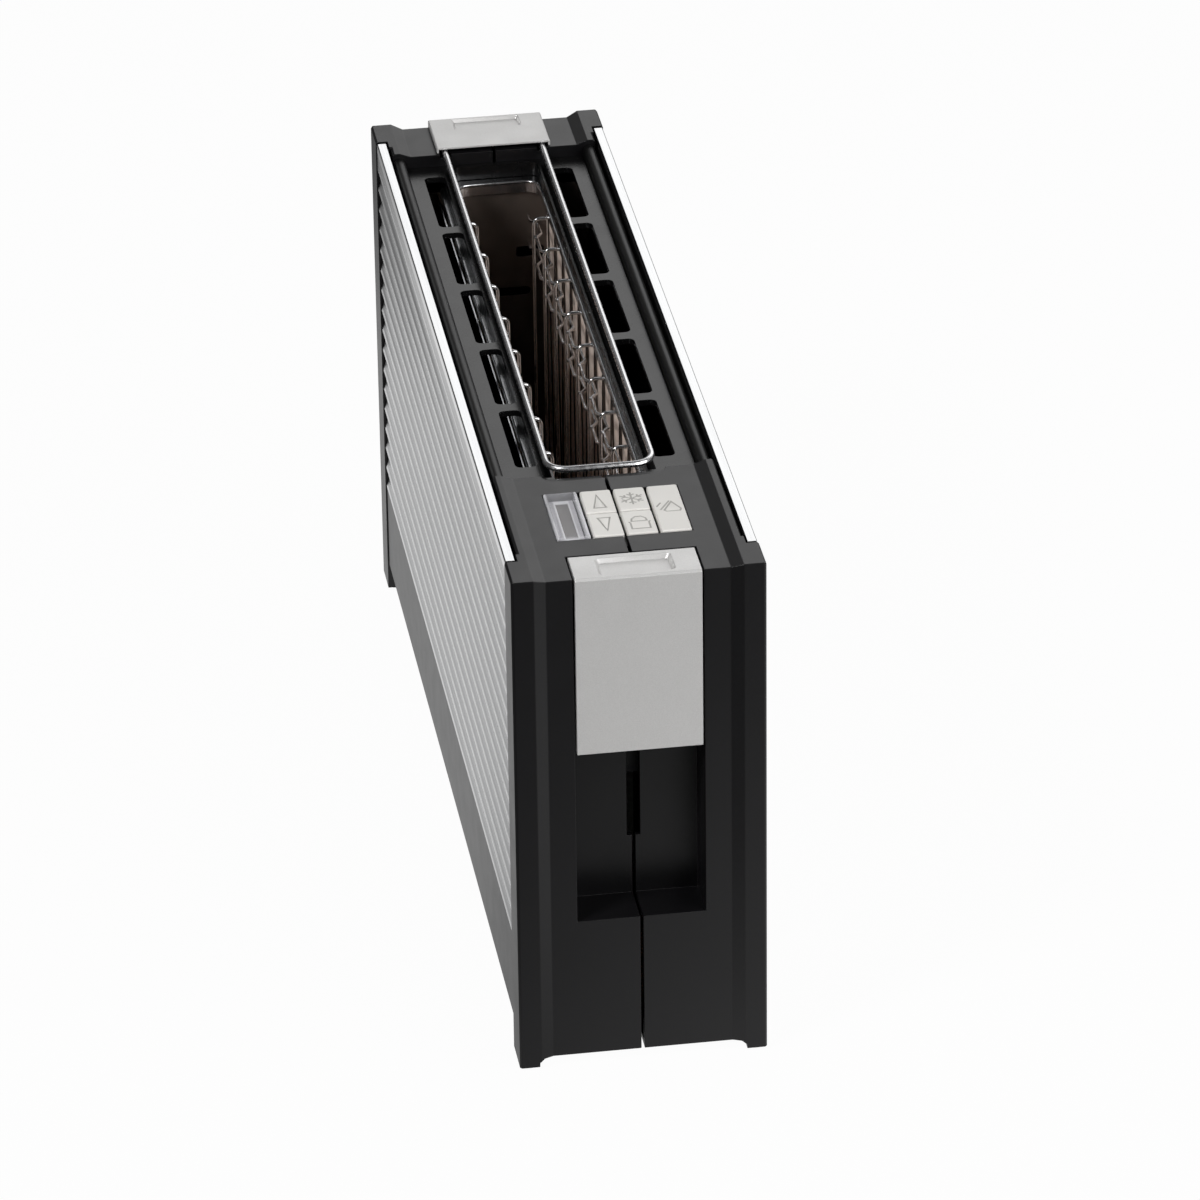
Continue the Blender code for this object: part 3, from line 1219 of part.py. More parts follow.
def carriage():
    """Moulded slide on two rods, with side pockets and a lug that holds the spring's foot."""
    front_y = along(FRONT, CARRIAGE_DEPTH)
    back_y = along(FRONT, CARRIAGE_BACK_DEPTH)
    slide = box("carriage", -CARRIAGE_HALF, CARRIAGE_HALF, front_y, back_y, CARRIAGE_FLOOR_Z, CARRIAGE_TOP_Z)
    lug = box("carriage_lug", -LUG_HALF, LUG_HALF, back_y - WALL, spring_y() + SPRING_RADIUS + EDGE,
              LUG_TOP_Z - LUG_HEIGHT, LUG_TOP_Z)
    holes = [circle(side * ROD_X, rod_y(), ROD_RADIUS + FIT) for side, word in SIDES]
    bores = prisms("carriage_bores", holes, place_z, CARRIAGE_FLOOR_Z - OVERRUN, CARRIAGE_TOP_Z + OVERRUN)
    pocket_half = ROD_X - ROD_RADIUS - WALL
    pocket = box("carriage_pocket", -pocket_half, pocket_half, back_y - CARRIAGE_POCKET, back_y + OVERRUN,
                 SPINE_TOP_Z + WALL, LUG_TOP_Z - LUG_HEIGHT - WALL)
    join(slide, lug)
    cut(slide, bores, pocket)
    armature = box("armature", -ARMATURE_HALF, ARMATURE_HALF, front_y + ARMATURE_INSET,
                   back_y - ARMATURE_INSET, ARMATURE_TOP_Z - ARMATURE_HEIGHT, ARMATURE_TOP_Z)
    finish(slide, BLACK_PLASTIC)
    finish(armature, GREY_STEEL)


def bread_rack():
    """The bread stands on the fingers of a long spine that rides on the carriage."""
    spine = box("bread_rack", -SPINE_HALF, SPINE_HALF, along(FRONT, SPINE_DEPTH),
                along(REAR, CHAMBER_REAR_DEPTH - CHAMBER_SHEET - SPINE_TAIL), SPINE_FLOOR_Z, SPINE_TOP_Z)
    fingers = []
    for y in guard_rows()[:-1]:
        middle = y + GUARD_PITCH / 2
        fingers.append(rectangle(-BREAD_FINGER_HALF, BREAD_FINGER_HALF, middle - BREAD_FINGER_SHEET / 2,
                                 middle + BREAD_FINGER_SHEET / 2))
    rungs = prisms("bread_rack_fingers", fingers, place_z, SPINE_TOP_Z - BREAD_FINGER_HEIGHT,
                   SPINE_TOP_Z + FIT)
    finish(join(spine, rungs), GREY_STEEL)


def spring_y():
    return along(FRONT, SPRING_DEPTH)


def return_spring():
    """Coil spring that lifts the carriage, from the lug up to the frame's roof."""
    low_z = LUG_TOP_Z + FIT + SPRING_WIRE
    high_z = FRAME_ROOF_Z - FIT - SPRING_WIRE
    count = SPRING_TURNS * SPRING_POINTS
    path = []
    for step in range(count + 1):
        angle = math.tau * step / SPRING_POINTS
        path.append((SPRING_RADIUS * math.cos(angle), spring_y() + SPRING_RADIUS * math.sin(angle),
                     low_z + (high_z - low_z) * step / count))
    gap = (high_z - low_z) / SPRING_TURNS - 2 * SPRING_WIRE
    print("least gap between the spring's turns:", round(gap, 5))
    finish(wire("return_spring", [path], SPRING_WIRE), GREY_STEEL)


def mechanism_frame():
    """Bent sheet that carries the rods, the magnet and the control board's standoffs."""
    front_y = along(FRONT, FRAME_DEPTH)
    back_y = along(FRONT, FRAME_BACK_DEPTH)
    inner_y = back_y - FRAME_SHEET
    outline = [
        (front_y, FLOOR_Z),
        (back_y, FLOOR_Z),
        (back_y, FRAME_TOP_Z),
        (front_y, FRAME_TOP_Z),
        (front_y, FRAME_ROOF_Z),
        (inner_y, FRAME_ROOF_Z),
        (inner_y, FRAME_FOOT_Z),
        (front_y, FRAME_FOOT_Z),
    ]
    frame = prism("mechanism_frame", outline, place_x, -FRAME_HALF, FRAME_HALF)
    windows = [rectangle(side * FRAME_WINDOW_INNER_X, side * FRAME_WINDOW_OUTER_X,
                         FRAME_FOOT_Z + FRAME_WINDOW_MARGIN, FRAME_ROOF_Z - FRAME_WINDOW_MARGIN)
               for side, word in SIDES]
    posts = [circle(side * STANDOFF_X, y, STANDOFF_RADIUS, SCREW_SIDES)
             for side, word in SIDES
             for y in (front_y + STANDOFF_INSET, back_y - STANDOFF_INSET)]
    join(frame, prisms("frame_standoffs", posts, place_z, FRAME_TOP_Z - FRAME_SHEET / 2, BOARD_Z - FIT))
    cut(frame, spine_slot("frame_spine_slot", inner_y - OVERRUN, back_y + OVERRUN),
        prisms("frame_windows", windows, place_y, inner_y - OVERRUN, back_y + OVERRUN))
    finish(frame, GREY_STEEL)


def guide_rods():
    for side, word in SIDES:
        rod = prism("guide_rod_" + word, circle(side * ROD_X, rod_y(), ROD_RADIUS), place_z,
                    FRAME_FOOT_Z + FIT, FRAME_ROOF_Z - FIT)
        finish(smooth(rod), BRIGHT_STEEL)


def latch_magnet():
    """Electromagnet on the frame's foot that holds the armature down while bread toasts."""
    front_y = along(FRONT, CARRIAGE_DEPTH + ARMATURE_INSET)
    back_y = along(FRONT, CARRIAGE_BACK_DEPTH - ARMATURE_INSET)
    floor_z = FRAME_FOOT_Z + FIT
    magnet = box("latch_magnet", -ARMATURE_HALF, ARMATURE_HALF, front_y, back_y, floor_z, MAGNET_TOP_Z)
    waist = ARMATURE_HALF - WALL
    groove_z = (floor_z + MAGNET_TOP_Z) / 2
    for side, word in SIDES:
        cut(magnet, box("magnet_groove_" + word, side * waist, side * (ARMATURE_HALF + OVERRUN),
                        front_y - OVERRUN, back_y + OVERRUN, groove_z, MAGNET_TOP_Z - WALL))
    finish(magnet, COPPER)


def power_board():
    """Upright circuit board on the left inner wall, with its relay, capacitor and terminal block."""
    board_x = -CHAMBER_HALF
    face_x = board_x + BOARD_SHEET
    front_y = along(FRONT, BOARD_FRONT_DEPTH)
    board = box("power_board", board_x, face_x, front_y, along(FRONT, POWER_BOARD_BACK_DEPTH),
                POWER_BOARD_FLOOR_Z, POWER_BOARD_TOP_Z)
    relay_y = along(FRONT, RELAY_DEPTH)
    terminal_y = along(FRONT, TERMINAL_DEPTH)
    outlines = [
        rectangle(relay_y, relay_y + RELAY_LENGTH, RELAY_Z, RELAY_Z + RELAY_HEIGHT),
        rectangle(terminal_y, terminal_y + TERMINAL_LENGTH, TERMINAL_Z, TERMINAL_Z + TERMINAL_HEIGHT),
        circle(along(FRONT, CAPACITOR_DEPTH), CAPACITOR_Z, CAPACITOR_RADIUS),
    ]
    finish(join(board, prisms("power_board_parts", outlines, place_x, face_x - BOARD_SHEET / 2,
                              face_x + RELAY_REACH)), CIRCUIT_BOARD)


def cell_columns():
    """X ranges of the display and of the three button columns, from left to right."""
    columns = [(-KEYPAD_HALF + CELL_EDGE, -KEYPAD_HALF + CELL_EDGE + DISPLAY_WIDTH)]
    for column in range(3):
        low = columns[-1][1] + CELL_GAP
        columns.append((low, low + BUTTON_WIDTH))
    return columns


def cell_rows():
    """Y ranges of the front and the back row of buttons."""
    front_y = along(FRONT, KEYPAD_FRONT_DEPTH) + CELL_EDGE
    back_y = along(FRONT, KEYPAD_BACK_DEPTH) - CELL_EDGE
    middle = (front_y + back_y) / 2
    return (front_y, middle - CELL_GAP / 2), (middle + CELL_GAP / 2, back_y)


def button_cells():
    columns = cell_columns()
    front_row, back_row = cell_rows()
    return {
        "button_up": (columns[1], back_row),
        "button_down": (columns[1], front_row),
        "button_defrost": (columns[2], back_row),
        "button_bun": (columns[2], front_row),
        "button_stop": (columns[3], (front_row[0], back_row[1])),
    }


def cell_middle(cell):
    (x0, x1), (y0, y1) = cell
    return (x0 + x1) / 2, (y0 + y1) / 2


def centred(x, y, width, length):
    return rectangle(x - width / 2, x + width / 2, y - length / 2, y + length / 2)


def buttons():
    """Soft-edged caps, each with a plunger over its switch."""
    for name, cell in button_cells().items():
        (x0, x1), (y0, y1) = cell
        rim = rounded(x0, x1, y0, y1, CELL_CORNER)
        top = rounded(x0 + BUTTON_EDGE, x1 - BUTTON_EDGE, y0 + BUTTON_EDGE, y1 - BUTTON_EDGE, CELL_CORNER)
        cap = skin(name, [level(rim, BUTTON_FLOOR_Z), level(rim, BUTTON_TOP_Z - BUTTON_EDGE),
                          level(top, BUTTON_TOP_Z)])
        plunger = prism(name + "_plunger", centred(*cell_middle(cell), PLUNGER_WIDTH, PLUNGER_LENGTH),
                        place_z, PLUNGER_FLOOR_Z, BUTTON_FLOOR_Z + BUTTON_EDGE)
        finish(join(cap, plunger), PALE_PLASTIC)


def keypad_base():
    """Control board, its switches, and the carrier that guides the buttons from below."""
    board = box("control_board", -BOARD_HALF, BOARD_HALF, along(FRONT, BOARD_FRONT_DEPTH),
                along(FRONT, BOARD_BACK_DEPTH), BOARD_Z, BOARD_TOP_Z)
    middles = [cell_middle(cell) for cell in button_cells().values()]
    switches = [centred(x, y, SWITCH_SIZE, SWITCH_SIZE) for x, y in middles]
    join(board, prisms("switch_bodies", switches, place_z, BOARD_TOP_Z - BOARD_SHEET / 2, SWITCH_TOP_Z))
    finish(board, CIRCUIT_BOARD)
    front_y = along(FRONT, KEYPAD_FRONT_DEPTH - CARRIER_MARGIN)
    back_y = along(FRONT, KEYPAD_BACK_DEPTH + CARRIER_MARGIN)
    carrier = box("button_carrier", -CARRIER_HALF, CARRIER_HALF, front_y, back_y, CARRIER_FLOOR_Z,
                  DECK_UNDER_Z - FIT)
    inner_half = CARRIER_HALF - CARRIER_RIM
    well = box("carrier_well", -inner_half, inner_half, front_y + CARRIER_RIM, back_y - CARRIER_RIM,
               CARRIER_TOP_Z, DECK_UNDER_Z + OVERRUN)
    holes = [centred(*cell_middle(cell), PLUNGER_WIDTH + 2 * PLUNGER_GAP, PLUNGER_LENGTH + 2 * PLUNGER_GAP)
             for cell in button_cells().values()]
    legs = []
    for side, word in SIDES:
        for y in (front_y + CARRIER_LEG, back_y - CARRIER_LEG):
            legs.append(centred(side * (CARRIER_HALF - CARRIER_LEG), y, CARRIER_LEG, CARRIER_LEG))
    join(carrier, prisms("carrier_legs", legs, place_z, BOARD_TOP_Z + FIT, CARRIER_TOP_Z - CARRIER_SHEET / 2))
    cut(carrier, well, prisms("carrier_holes", holes, place_z, CARRIER_FLOOR_Z - OVERRUN,
                              CARRIER_TOP_Z + OVERRUN / 2))
    finish(carrier, BLACK_PLASTIC)


def display():
    """Clear window over a grey display strip, in the keypad's left cell."""
    x0, x1 = cell_columns()[0]
    front_row, back_row = cell_rows()
    y0, y1 = front_row[0], back_row[1]
    floor_z = CARRIER_TOP_Z + FIT
    top_z = DECK_Z + DISPLAY_RISE
    rim = rounded(x0, x1, y0, y1, CELL_CORNER)
    top = rounded(x0 + BUTTON_EDGE, x1 - BUTTON_EDGE, y0 + BUTTON_EDGE, y1 - BUTTON_EDGE, CELL_CORNER)
    window = skin("display_window", [level(rim, floor_z), level(rim, top_z - BUTTON_EDGE), level(top, top_z)])
    panel_top_z = floor_z + DISPLAY_PANEL_THICKNESS
    inner = (x0 + DISPLAY_WALL, x1 - DISPLAY_WALL, y0 + DISPLAY_WALL, y1 - DISPLAY_WALL)
    cut(window, box("display_pocket", *inner, floor_z - OVERRUN, panel_top_z + FIT))
    panel = box("display_panel", inner[0] + FIT, inner[1] - FIT, inner[2] + FIT, inner[3] - FIT,
                floor_z, panel_top_z)
    finish(window, CLEAR_PLASTIC)
    finish(panel, DISPLAY_GREY)


def rack_handle():
    """Pressed lid of the warming rack: side flanges, a rear plate and a finger dish in the top."""
    front_y = along(REAR, HANDLE_INSET + HANDLE_REACH)
    rear_y = along(REAR, HANDLE_INSET)
    inner_half = HANDLE_HALF - HANDLE_SHEET
    outline = [
        (-HANDLE_HALF, HANDLE_FLANGE_Z),
        (-inner_half, HANDLE_FLANGE_Z),
        (-inner_half, HANDLE_UNDER_Z),
        (inner_half, HANDLE_UNDER_Z),
        (inner_half, HANDLE_FLANGE_Z),
        (HANDLE_HALF, HANDLE_FLANGE_Z),
        (HANDLE_HALF, HANDLE_TOP_Z - HANDLE_EDGE),
        (HANDLE_HALF - HANDLE_EDGE, HANDLE_TOP_Z),
        (HANDLE_EDGE - HANDLE_HALF, HANDLE_TOP_Z),
        (-HANDLE_HALF, HANDLE_TOP_Z - HANDLE_EDGE),
    ]
    handle = prism("rack_handle", outline, place_y, front_y, rear_y)
    plate = box("rack_handle_plate", -HANDLE_HALF, HANDLE_HALF, rear_y - HANDLE_PLATE, rear_y,
                HANDLE_PLATE_FLOOR_Z, HANDLE_TOP_Z - HANDLE_EDGE)
    pan_half = LEG_X - LEG_WIDTH / 2 - FIT
    pan_front_y = rear_y - PAN_LENGTH
    pan = box("rack_handle_pan", -pan_half, pan_half, pan_front_y, rear_y - HANDLE_PLATE / 2,
              HANDLE_FLANGE_Z, HANDLE_TOP_Z - HANDLE_SHEET / 2)
    dish = tapered("rack_handle_dish", PAN_WALL - pan_half, pan_half - PAN_WALL, pan_front_y + PAN_WALL,
                   rear_y - PAN_WALL, EDGE, EDGE, HANDLE_FLANGE_Z + PAN_WALL, HANDLE_TOP_Z)
    join(handle, plate, pan)
    finish(cut(handle, dish), SILVER_PLASTIC)


def rack_wire():
    """Bright U of wire over the vent cover, with its ends under the handle."""
    bar_y = along(FRONT, RACK_FRONT_DEPTH)
    end_y = along(REAR, RACK_END_DEPTH)
    corner_x = RACK_X - RACK_CORNER
    corner_y = bar_y + RACK_CORNER
    path = [(-RACK_X, end_y)]
    path += arc(-corner_x, corner_y, RACK_CORNER, 2, 3, RACK_CORNER_STEPS)
    path += arc(corner_x, corner_y, RACK_CORNER, 3, 4, RACK_CORNER_STEPS)
    path.append((RACK_X, end_y))
    finish(wire("rack_wire", [level(path, RACK_Z)], RACK_WIRE, 2), BRIGHT_STEEL)


def rack_legs():
    """Flat legs under the handle and the moulded guide that they slide in."""
    bores = []
    rear_y = along(REAR, LEG_DEPTH)
    front_y = along(REAR, LEG_DEPTH + LEG_LENGTH)
    for side, word in SIDES:
        low_x = side * (LEG_X - LEG_WIDTH / 2)
        high_x = side * (LEG_X + LEG_WIDTH / 2)
        bores.append(rectangle(low_x - side * FIT, high_x + side * FIT, front_y - FIT, rear_y + FIT))
        finish(box("rack_leg_" + word, low_x, high_x, front_y, rear_y, LEG_FLOOR_Z, HANDLE_UNDER_Z - FIT),
               GREY_STEEL)
    guide = box("rack_guide", -GUIDE_HALF, GUIDE_HALF, along(REAR, GUIDE_DEPTH + GUIDE_LENGTH),
                along(REAR, GUIDE_DEPTH), GUIDE_FLOOR_Z, GUIDE_TOP_Z)
    cut(guide, prisms("rack_guide_bores", bores, place_z, GUIDE_FLOOR_Z - OVERRUN, GUIDE_TOP_Z + OVERRUN))
    finish(guide, BLACK_PLASTIC)


def crumb_tray():
    """Shallow tray over the base plate, with its door in the rear end."""
    front_y = along(FRONT, TRAY_FRONT_DEPTH)
    rear_y = along(REAR, TRAY_REAR_DEPTH)
    tray = box("crumb_tray", -TRAY_HALF, TRAY_HALF, front_y, rear_y, FLOOR_Z, TRAY_TOP_Z)
    hollow = box("crumb_tray_hollow", TRAY_SHEET - TRAY_HALF, TRAY_HALF - TRAY_SHEET, front_y + TRAY_SHEET,
                 rear_y - TRAY_SHEET, FLOOR_Z + TRAY_SHEET, TRAY_TOP_Z + OVERRUN)
    finish(cut(tray, hollow), GREY_STEEL)
    door_y = along(REAR, DOOR_DEPTH)
    door = box("crumb_tray_front", -DOOR_HALF, DOOR_HALF, door_y - DOOR_THICKNESS, door_y,
               FLOOR_Z, DOOR_TOP_Z)
    pull_top_z = DOOR_TOP_Z - PULL_FALL
    pull = box("crumb_tray_pull", -PULL_HALF, PULL_HALF, door_y - DOOR_THICKNESS / 2, door_y + PULL_REACH,
               pull_top_z - PULL_HEIGHT, pull_top_z)
    finish(join(door, pull), BLACK_PLASTIC)


def carry(name, place, pieces):
    """Hang the pieces of a moving body on an empty that lies on the joint's axis."""
    axis = link(name, None)
    axis.location = place
    for piece_name in pieces:
        piece = bpy.data.objects[piece_name]
        piece.parent = axis
        piece.matrix_parent_inverse = Matrix.Translation(place).inverted()


def moving_bodies():
    carry("lever_axis", (0, rod_y(), STEM_TOP_Z),
          ["lever_cover", "lever_stem", "carriage", "armature", "bread_rack"])
    for side, word in SIDES:
        carry("guard_axis_" + word, (side * GUARD_X, 0, HOOK_Z), ["guard_" + word])
    rack_nodes = ["rack_handle", "rack_wire", "rack_leg_left", "rack_leg_right"]
    carry("rack_axis", (0, along(REAR, LEG_DEPTH), HANDLE_UNDER_Z), rack_nodes)
    carry("tray_axis", (0, along(REAR, DOOR_DEPTH), FLOOR_Z), ["crumb_tray", "crumb_tray_front"])
    for name, cell in button_cells().items():
        carry(name + "_axis", (*cell_middle(cell), BUTTON_FLOOR_Z), [name])


def main():
    for piece in list(bpy.data.objects):
        bpy.data.objects.remove(piece, do_unlink=True)
    front_caps()
    rear_caps()
    foot_pads()
    side_panels()
    skirts()
    inner_walls()
    base_plate()
    housing_screws()
    cord_gland()
    vent_cover()
    slot_liner()
    chamber_ends()
    heaters()
    guards()
    lever_cover()
    lever_stem()
    carriage()
    bread_rack()
    return_spring()
    mechanism_frame()
    guide_rods()
    latch_magnet()
    power_board()
    buttons()
    keypad_base()
    display()
    rack_handle()
    rack_wire()
    rack_legs()
    crumb_tray()
    moving_bodies()


main()
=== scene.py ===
"""The look of the long-slot toaster: finishes, softened edges, symbols cut in the keys, light, camera.

Lengths are in metres. X runs across the body, Y from the lever end to the rear end, Z up.
"""
import json
import math

import bmesh
import bpy
from mathutils import Euler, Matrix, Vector


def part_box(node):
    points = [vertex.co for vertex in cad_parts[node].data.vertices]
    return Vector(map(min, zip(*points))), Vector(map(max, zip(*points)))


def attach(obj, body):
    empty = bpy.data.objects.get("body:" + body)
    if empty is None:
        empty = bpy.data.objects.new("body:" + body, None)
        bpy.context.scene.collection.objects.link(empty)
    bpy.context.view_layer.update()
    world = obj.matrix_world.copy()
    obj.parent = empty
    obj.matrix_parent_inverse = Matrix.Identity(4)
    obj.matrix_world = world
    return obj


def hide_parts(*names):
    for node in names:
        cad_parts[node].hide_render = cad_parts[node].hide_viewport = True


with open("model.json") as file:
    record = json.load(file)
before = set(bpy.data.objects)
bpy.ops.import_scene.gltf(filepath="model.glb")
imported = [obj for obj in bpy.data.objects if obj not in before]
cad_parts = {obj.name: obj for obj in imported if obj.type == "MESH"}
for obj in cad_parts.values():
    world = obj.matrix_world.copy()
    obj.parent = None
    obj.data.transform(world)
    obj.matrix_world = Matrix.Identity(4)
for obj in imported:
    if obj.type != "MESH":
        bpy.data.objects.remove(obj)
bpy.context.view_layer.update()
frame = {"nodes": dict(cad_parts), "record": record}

# Camera
CAMERA_PLACE = (-0.36624, -2.59102, 1.49012)
CAMERA_ANGLES = (61.894, 0.674, -8.757)
LENS_MM = 216.44
SENSOR_MM = 36
NEAR = 0.05
FAR = 20

# Studio
FLOOR_HALF = 6
FLOOR_COLOUR = (0.5, 0.5, 0.5, 1)
WHITE = (1, 1, 1, 1)
FLOOR_WHITE_SHARE = 0.97
FLOOR_SHEEN_SHARE = 0.85
SHEEN_AXIS = (0.855, 0.518, 0)
SHEEN_START = -0.256
SHEEN_END = -0.067
SHEEN_DIM = 0.12
SHEEN_BRIGHT = 0.9
FADE_START = 0.46
FADE_END = 0.66
FADE_LEAST = 0.3
AMBIENT = 0.05
AMBIENT_BACK = 0.30
BACK_DIRECTION = (0.64, 0.74, 0.2)
RAMP_START = 0.3
RAMP_END = 0.95
AIM = (0, 0, 0.11)
LAMPS = {
    "key": {"place": (-1.32, -1.0, 1.75), "width": 0.5, "height": 0.5, "power": 34},
    "fill": {"place": (1.75, -1.75, 1.3), "width": 2.4, "height": 1.8, "power": 59},
    "back": {"place": (1.9, 4.3, 2.8), "width": 4.2, "height": 3.2, "power": 50},
}

# Softened edges
WELD_REACH = 1e-6
FLAT_ANGLE = math.radians(0.4)
BEVEL_ANGLE = math.radians(38)
FOLD_ANGLE = math.radians(20)
FOLDED_FINISH = "cap"
BEVEL_SEGMENTS = 2
FINE_EDGE = 0.00012
SHEET_EDGE = 0.00018
WIRE_EDGE = 0.00032
MOULDED_EDGE = 0.0006
COVER_EDGE = 0.0008
GRILLE_EDGE = 0.0004
LINER_EDGE = 0.00035
KEY_EDGE = 0.0006
WINDOW_EDGE = 0.0005

# On pieces without softened edges, faces that meet at less than this are smoothed together
SMOOTH_ANGLE = math.radians(66)

# How far below the liner's top lie the points of its bead that are pressed flat
RIM_LEAST = 0.00005
RIM_MOST = 0.0002

# Milkiness of the display's window, which rises towards its rim as a painted highlight, and the part of its
# bed that the grey strip takes up
RIM_HIGHLIGHT_PORTIONS = (0.74, 0.90)
RIM_HIGHLIGHT_FULL = 1.25
MILK_LEAST = 0.07
RIM_HIGHLIGHT_MOST = 0.75
STRIP_PORTIONS = (0.52, 0.84)

# Colours of the display's bed, by half the distance from its middle; 0.5 is the rim of the grey strip
DISPLAY_BANDS = (
    (0, (0.10, 0.092, 0.088)),
    (0.48, (0.085, 0.077, 0.074)),
    (0.52, (0.66, 0.66, 0.68)),
    (0.60, (0.62, 0.62, 0.64)),
    (0.66, (0.42, 0.41, 0.44)),
    (1, (0.48, 0.47, 0.51)),
)

# Middle of a noise's range, where most of its values lie
NOISE_LOW = 0.3
NOISE_HIGH = 0.7

FINE_DETAIL = 3
CLOUD_DETAIL = 4

# Grains, as a size along each axis
MOULDED_CLOUD = (0.03, 0.03, 0.03)
MOULDED_GLOSS = (0.012, 0.012, 0.012)
EVEN_STEEL = (0.002, 0.002, 0.002)
ROLLED_STEEL = (0.002, 0.004, 0.002)
LINER_STREAKS = (0.0006, 0.03, 0.0006)
FLUTE_STREAKS = (0.0004, 0.08, 0.0004)
PAINT_FLAKES = (0.00025, 0.00025, 0.00025)
PAINT_CLOUD = (0.01, 0.01, 0.01)
HEAT_CLOUD = (0.02, 0.03, 0.03)
HEAT_GRAIN = (0.0006, 0.0006, 0.0006)
MICA_FLAKES = (0.004, 0.006, 0.004)
TRACKS = (0.006, 0.006, 0.006)
CLOUD_4_MM = (0.004, 0.004, 0.004)
BED_CLOUD = (0.004, 0.012, 0.004)
COIL_TURNS = (0.002, 0.002, 0.002)

# Depths of bumps
FAINT_BUMP = 0.00001
POLISH_BUMP = 0.000004
BRIGHT_BUMP = 0.000002
PAINT_BUMP = 0.000008
KEY_BUMP = 0.000012
GRILLE_BUMP = 0.000015
SHEET_BUMP = 0.00002
MICA_BUMP = 0.00003
RUBBER_BUMP = 0.00005
TURN_BUMP = 0.0001

# Sockets of a colour mix, which it has for each kind of value
FIRST_COLOUR = 6
SECOND_COLOUR = 7
MIXED_COLOUR = 2

# Finish of the fluted panels, with painted highlights along the crests of the flutes and on the top rail,
# and painted shade in the valleys
FLUTE_PITCH = 0.0095
FLUTE_CREST = 0.2035
CREST_HIGHLIGHT_START = 0.1
RAIL_START = 0.2108
RAIL_END = 0.2118
RAIL_HIGHLIGHT = 0.66

# Symbols cut into the keys
MILLIMETRE = 0.001
GROOVE_HALF = 0.00040
GROOVE_DEPTH = 0.00055
GROOVE_OVER = 0.00005
MITRE_LEAST = 0.4
BARB_PLACE = 0.55


def material(name):
    """A node material, its tree and its shader."""
    made = bpy.data.materials.new(name)
    made.use_nodes = True
    tree = made.node_tree
    return made, tree, tree.nodes["Principled BSDF"]


def grained(tree, grain):
    """Object coordinates counted in grains, which have that many metres along each axis."""
    coordinates = tree.nodes.new("ShaderNodeTexCoord")
    mapping = tree.nodes.new("ShaderNodeMapping")
    mapping.inputs["Scale"].default_value = [1 / size for size in grain]
    tree.links.new(coordinates.outputs["Object"], mapping.inputs["Vector"])
    return mapping.outputs["Vector"]


def noise(tree, grain, detail=2.0):
    """Noise whose grain is that many metres along each axis."""
    texture = tree.nodes.new("ShaderNodeTexNoise")
    texture.inputs["Scale"].default_value = 1
    texture.inputs["Detail"].default_value = detail
    tree.links.new(grained(tree, grain), texture.inputs["Vector"])
    return texture.outputs["Fac"]


def calculated(tree, operation, *values):
    """The result of a math node on values that are numbers or sockets."""
    step = tree.nodes.new("ShaderNodeMath")
    step.operation = operation
    for value, socket in zip(values, step.inputs):
        if isinstance(value, bpy.types.NodeSocket):
            tree.links.new(value, socket)
        else:
            socket.default_value = value
    return step.outputs[0]


def remapped(tree, value, reach, low, high, smooth=False):
    """A value carried over from its reach, a start and an end, to low and high."""
    spread = tree.nodes.new("ShaderNodeMapRange")
    if smooth:
        spread.interpolation_type = "SMOOTHSTEP"
    spread.inputs["From Min"].default_value = reach[0]
    spread.inputs["From Max"].default_value = reach[1]
    spread.inputs["To Min"].default_value = low
    spread.inputs["To Max"].default_value = high
    tree.links.new(value, spread.inputs["Value"])
    return spread.outputs["Result"]


def ranged(tree, value, low, high):
    """A value spread from low to high over the middle of a noise's range."""
    return remapped(tree, value, (NOISE_LOW, NOISE_HIGH), low, high)


def object_axes(tree):
    """The X, Y and Z of the object's own coordinates, by name."""
    coordinates = tree.nodes.new("ShaderNodeTexCoord")
    axes = tree.nodes.new("ShaderNodeSeparateXYZ")
    tree.links.new(coordinates.outputs["Object"], axes.inputs["Vector"])
    return axes.outputs


def mixed(tree, share, first, second):
    """A colour between first and second, each a colour or a socket."""
    mix = tree.nodes.new("ShaderNodeMix")
    mix.data_type = "RGBA"
    tree.links.new(share, mix.inputs["Factor"])
    for socket, colour in ((mix.inputs[FIRST_COLOUR], first), (mix.inputs[SECOND_COLOUR], second)):
        if isinstance(colour, bpy.types.NodeSocket):
            tree.links.new(colour, socket)
        else:
            socket.default_value = (*colour, 1)
    return mix.outputs[MIXED_COLOUR]


def bumped(tree, shader, height, depth):
    """A bump that many metres deep."""
    bump = tree.nodes.new("ShaderNodeBump")
    bump.inputs["Strength"].default_value = 1
    bump.inputs["Distance"].default_value = depth
    tree.links.new(height, bump.inputs["Height"])
    tree.links.new(bump.outputs["Normal"], shader.inputs["Normal"])


def shade(colour, factor):
    """A colour made darker or lighter."""
    return tuple(min(1, channel * factor) for channel in colour)


def moulded(name, colour, roughness, specular, grain=0.0004, depth=SHEET_BUMP, spread=0.08):
    """Moulded plastic: a fine even grain with faint cloudiness in its colour and its gloss."""
    made, tree, shader = material(name)
    cloud = noise(tree, MOULDED_CLOUD)
    colours = mixed(tree, ranged(tree, cloud, 0, 1), shade(colour, 1 - spread), shade(colour, 1 + spread))
    tree.links.new(colours, shader.inputs["Base Color"])
    gloss = ranged(tree, noise(tree, MOULDED_GLOSS), roughness - 0.015, roughness + 0.015)
    tree.links.new(gloss, shader.inputs["Roughness"])
    shader.inputs["Specular IOR Level"].default_value = specular
    bumped(tree, shader, noise(tree, (grain, grain, grain), FINE_DETAIL), depth)
    return made


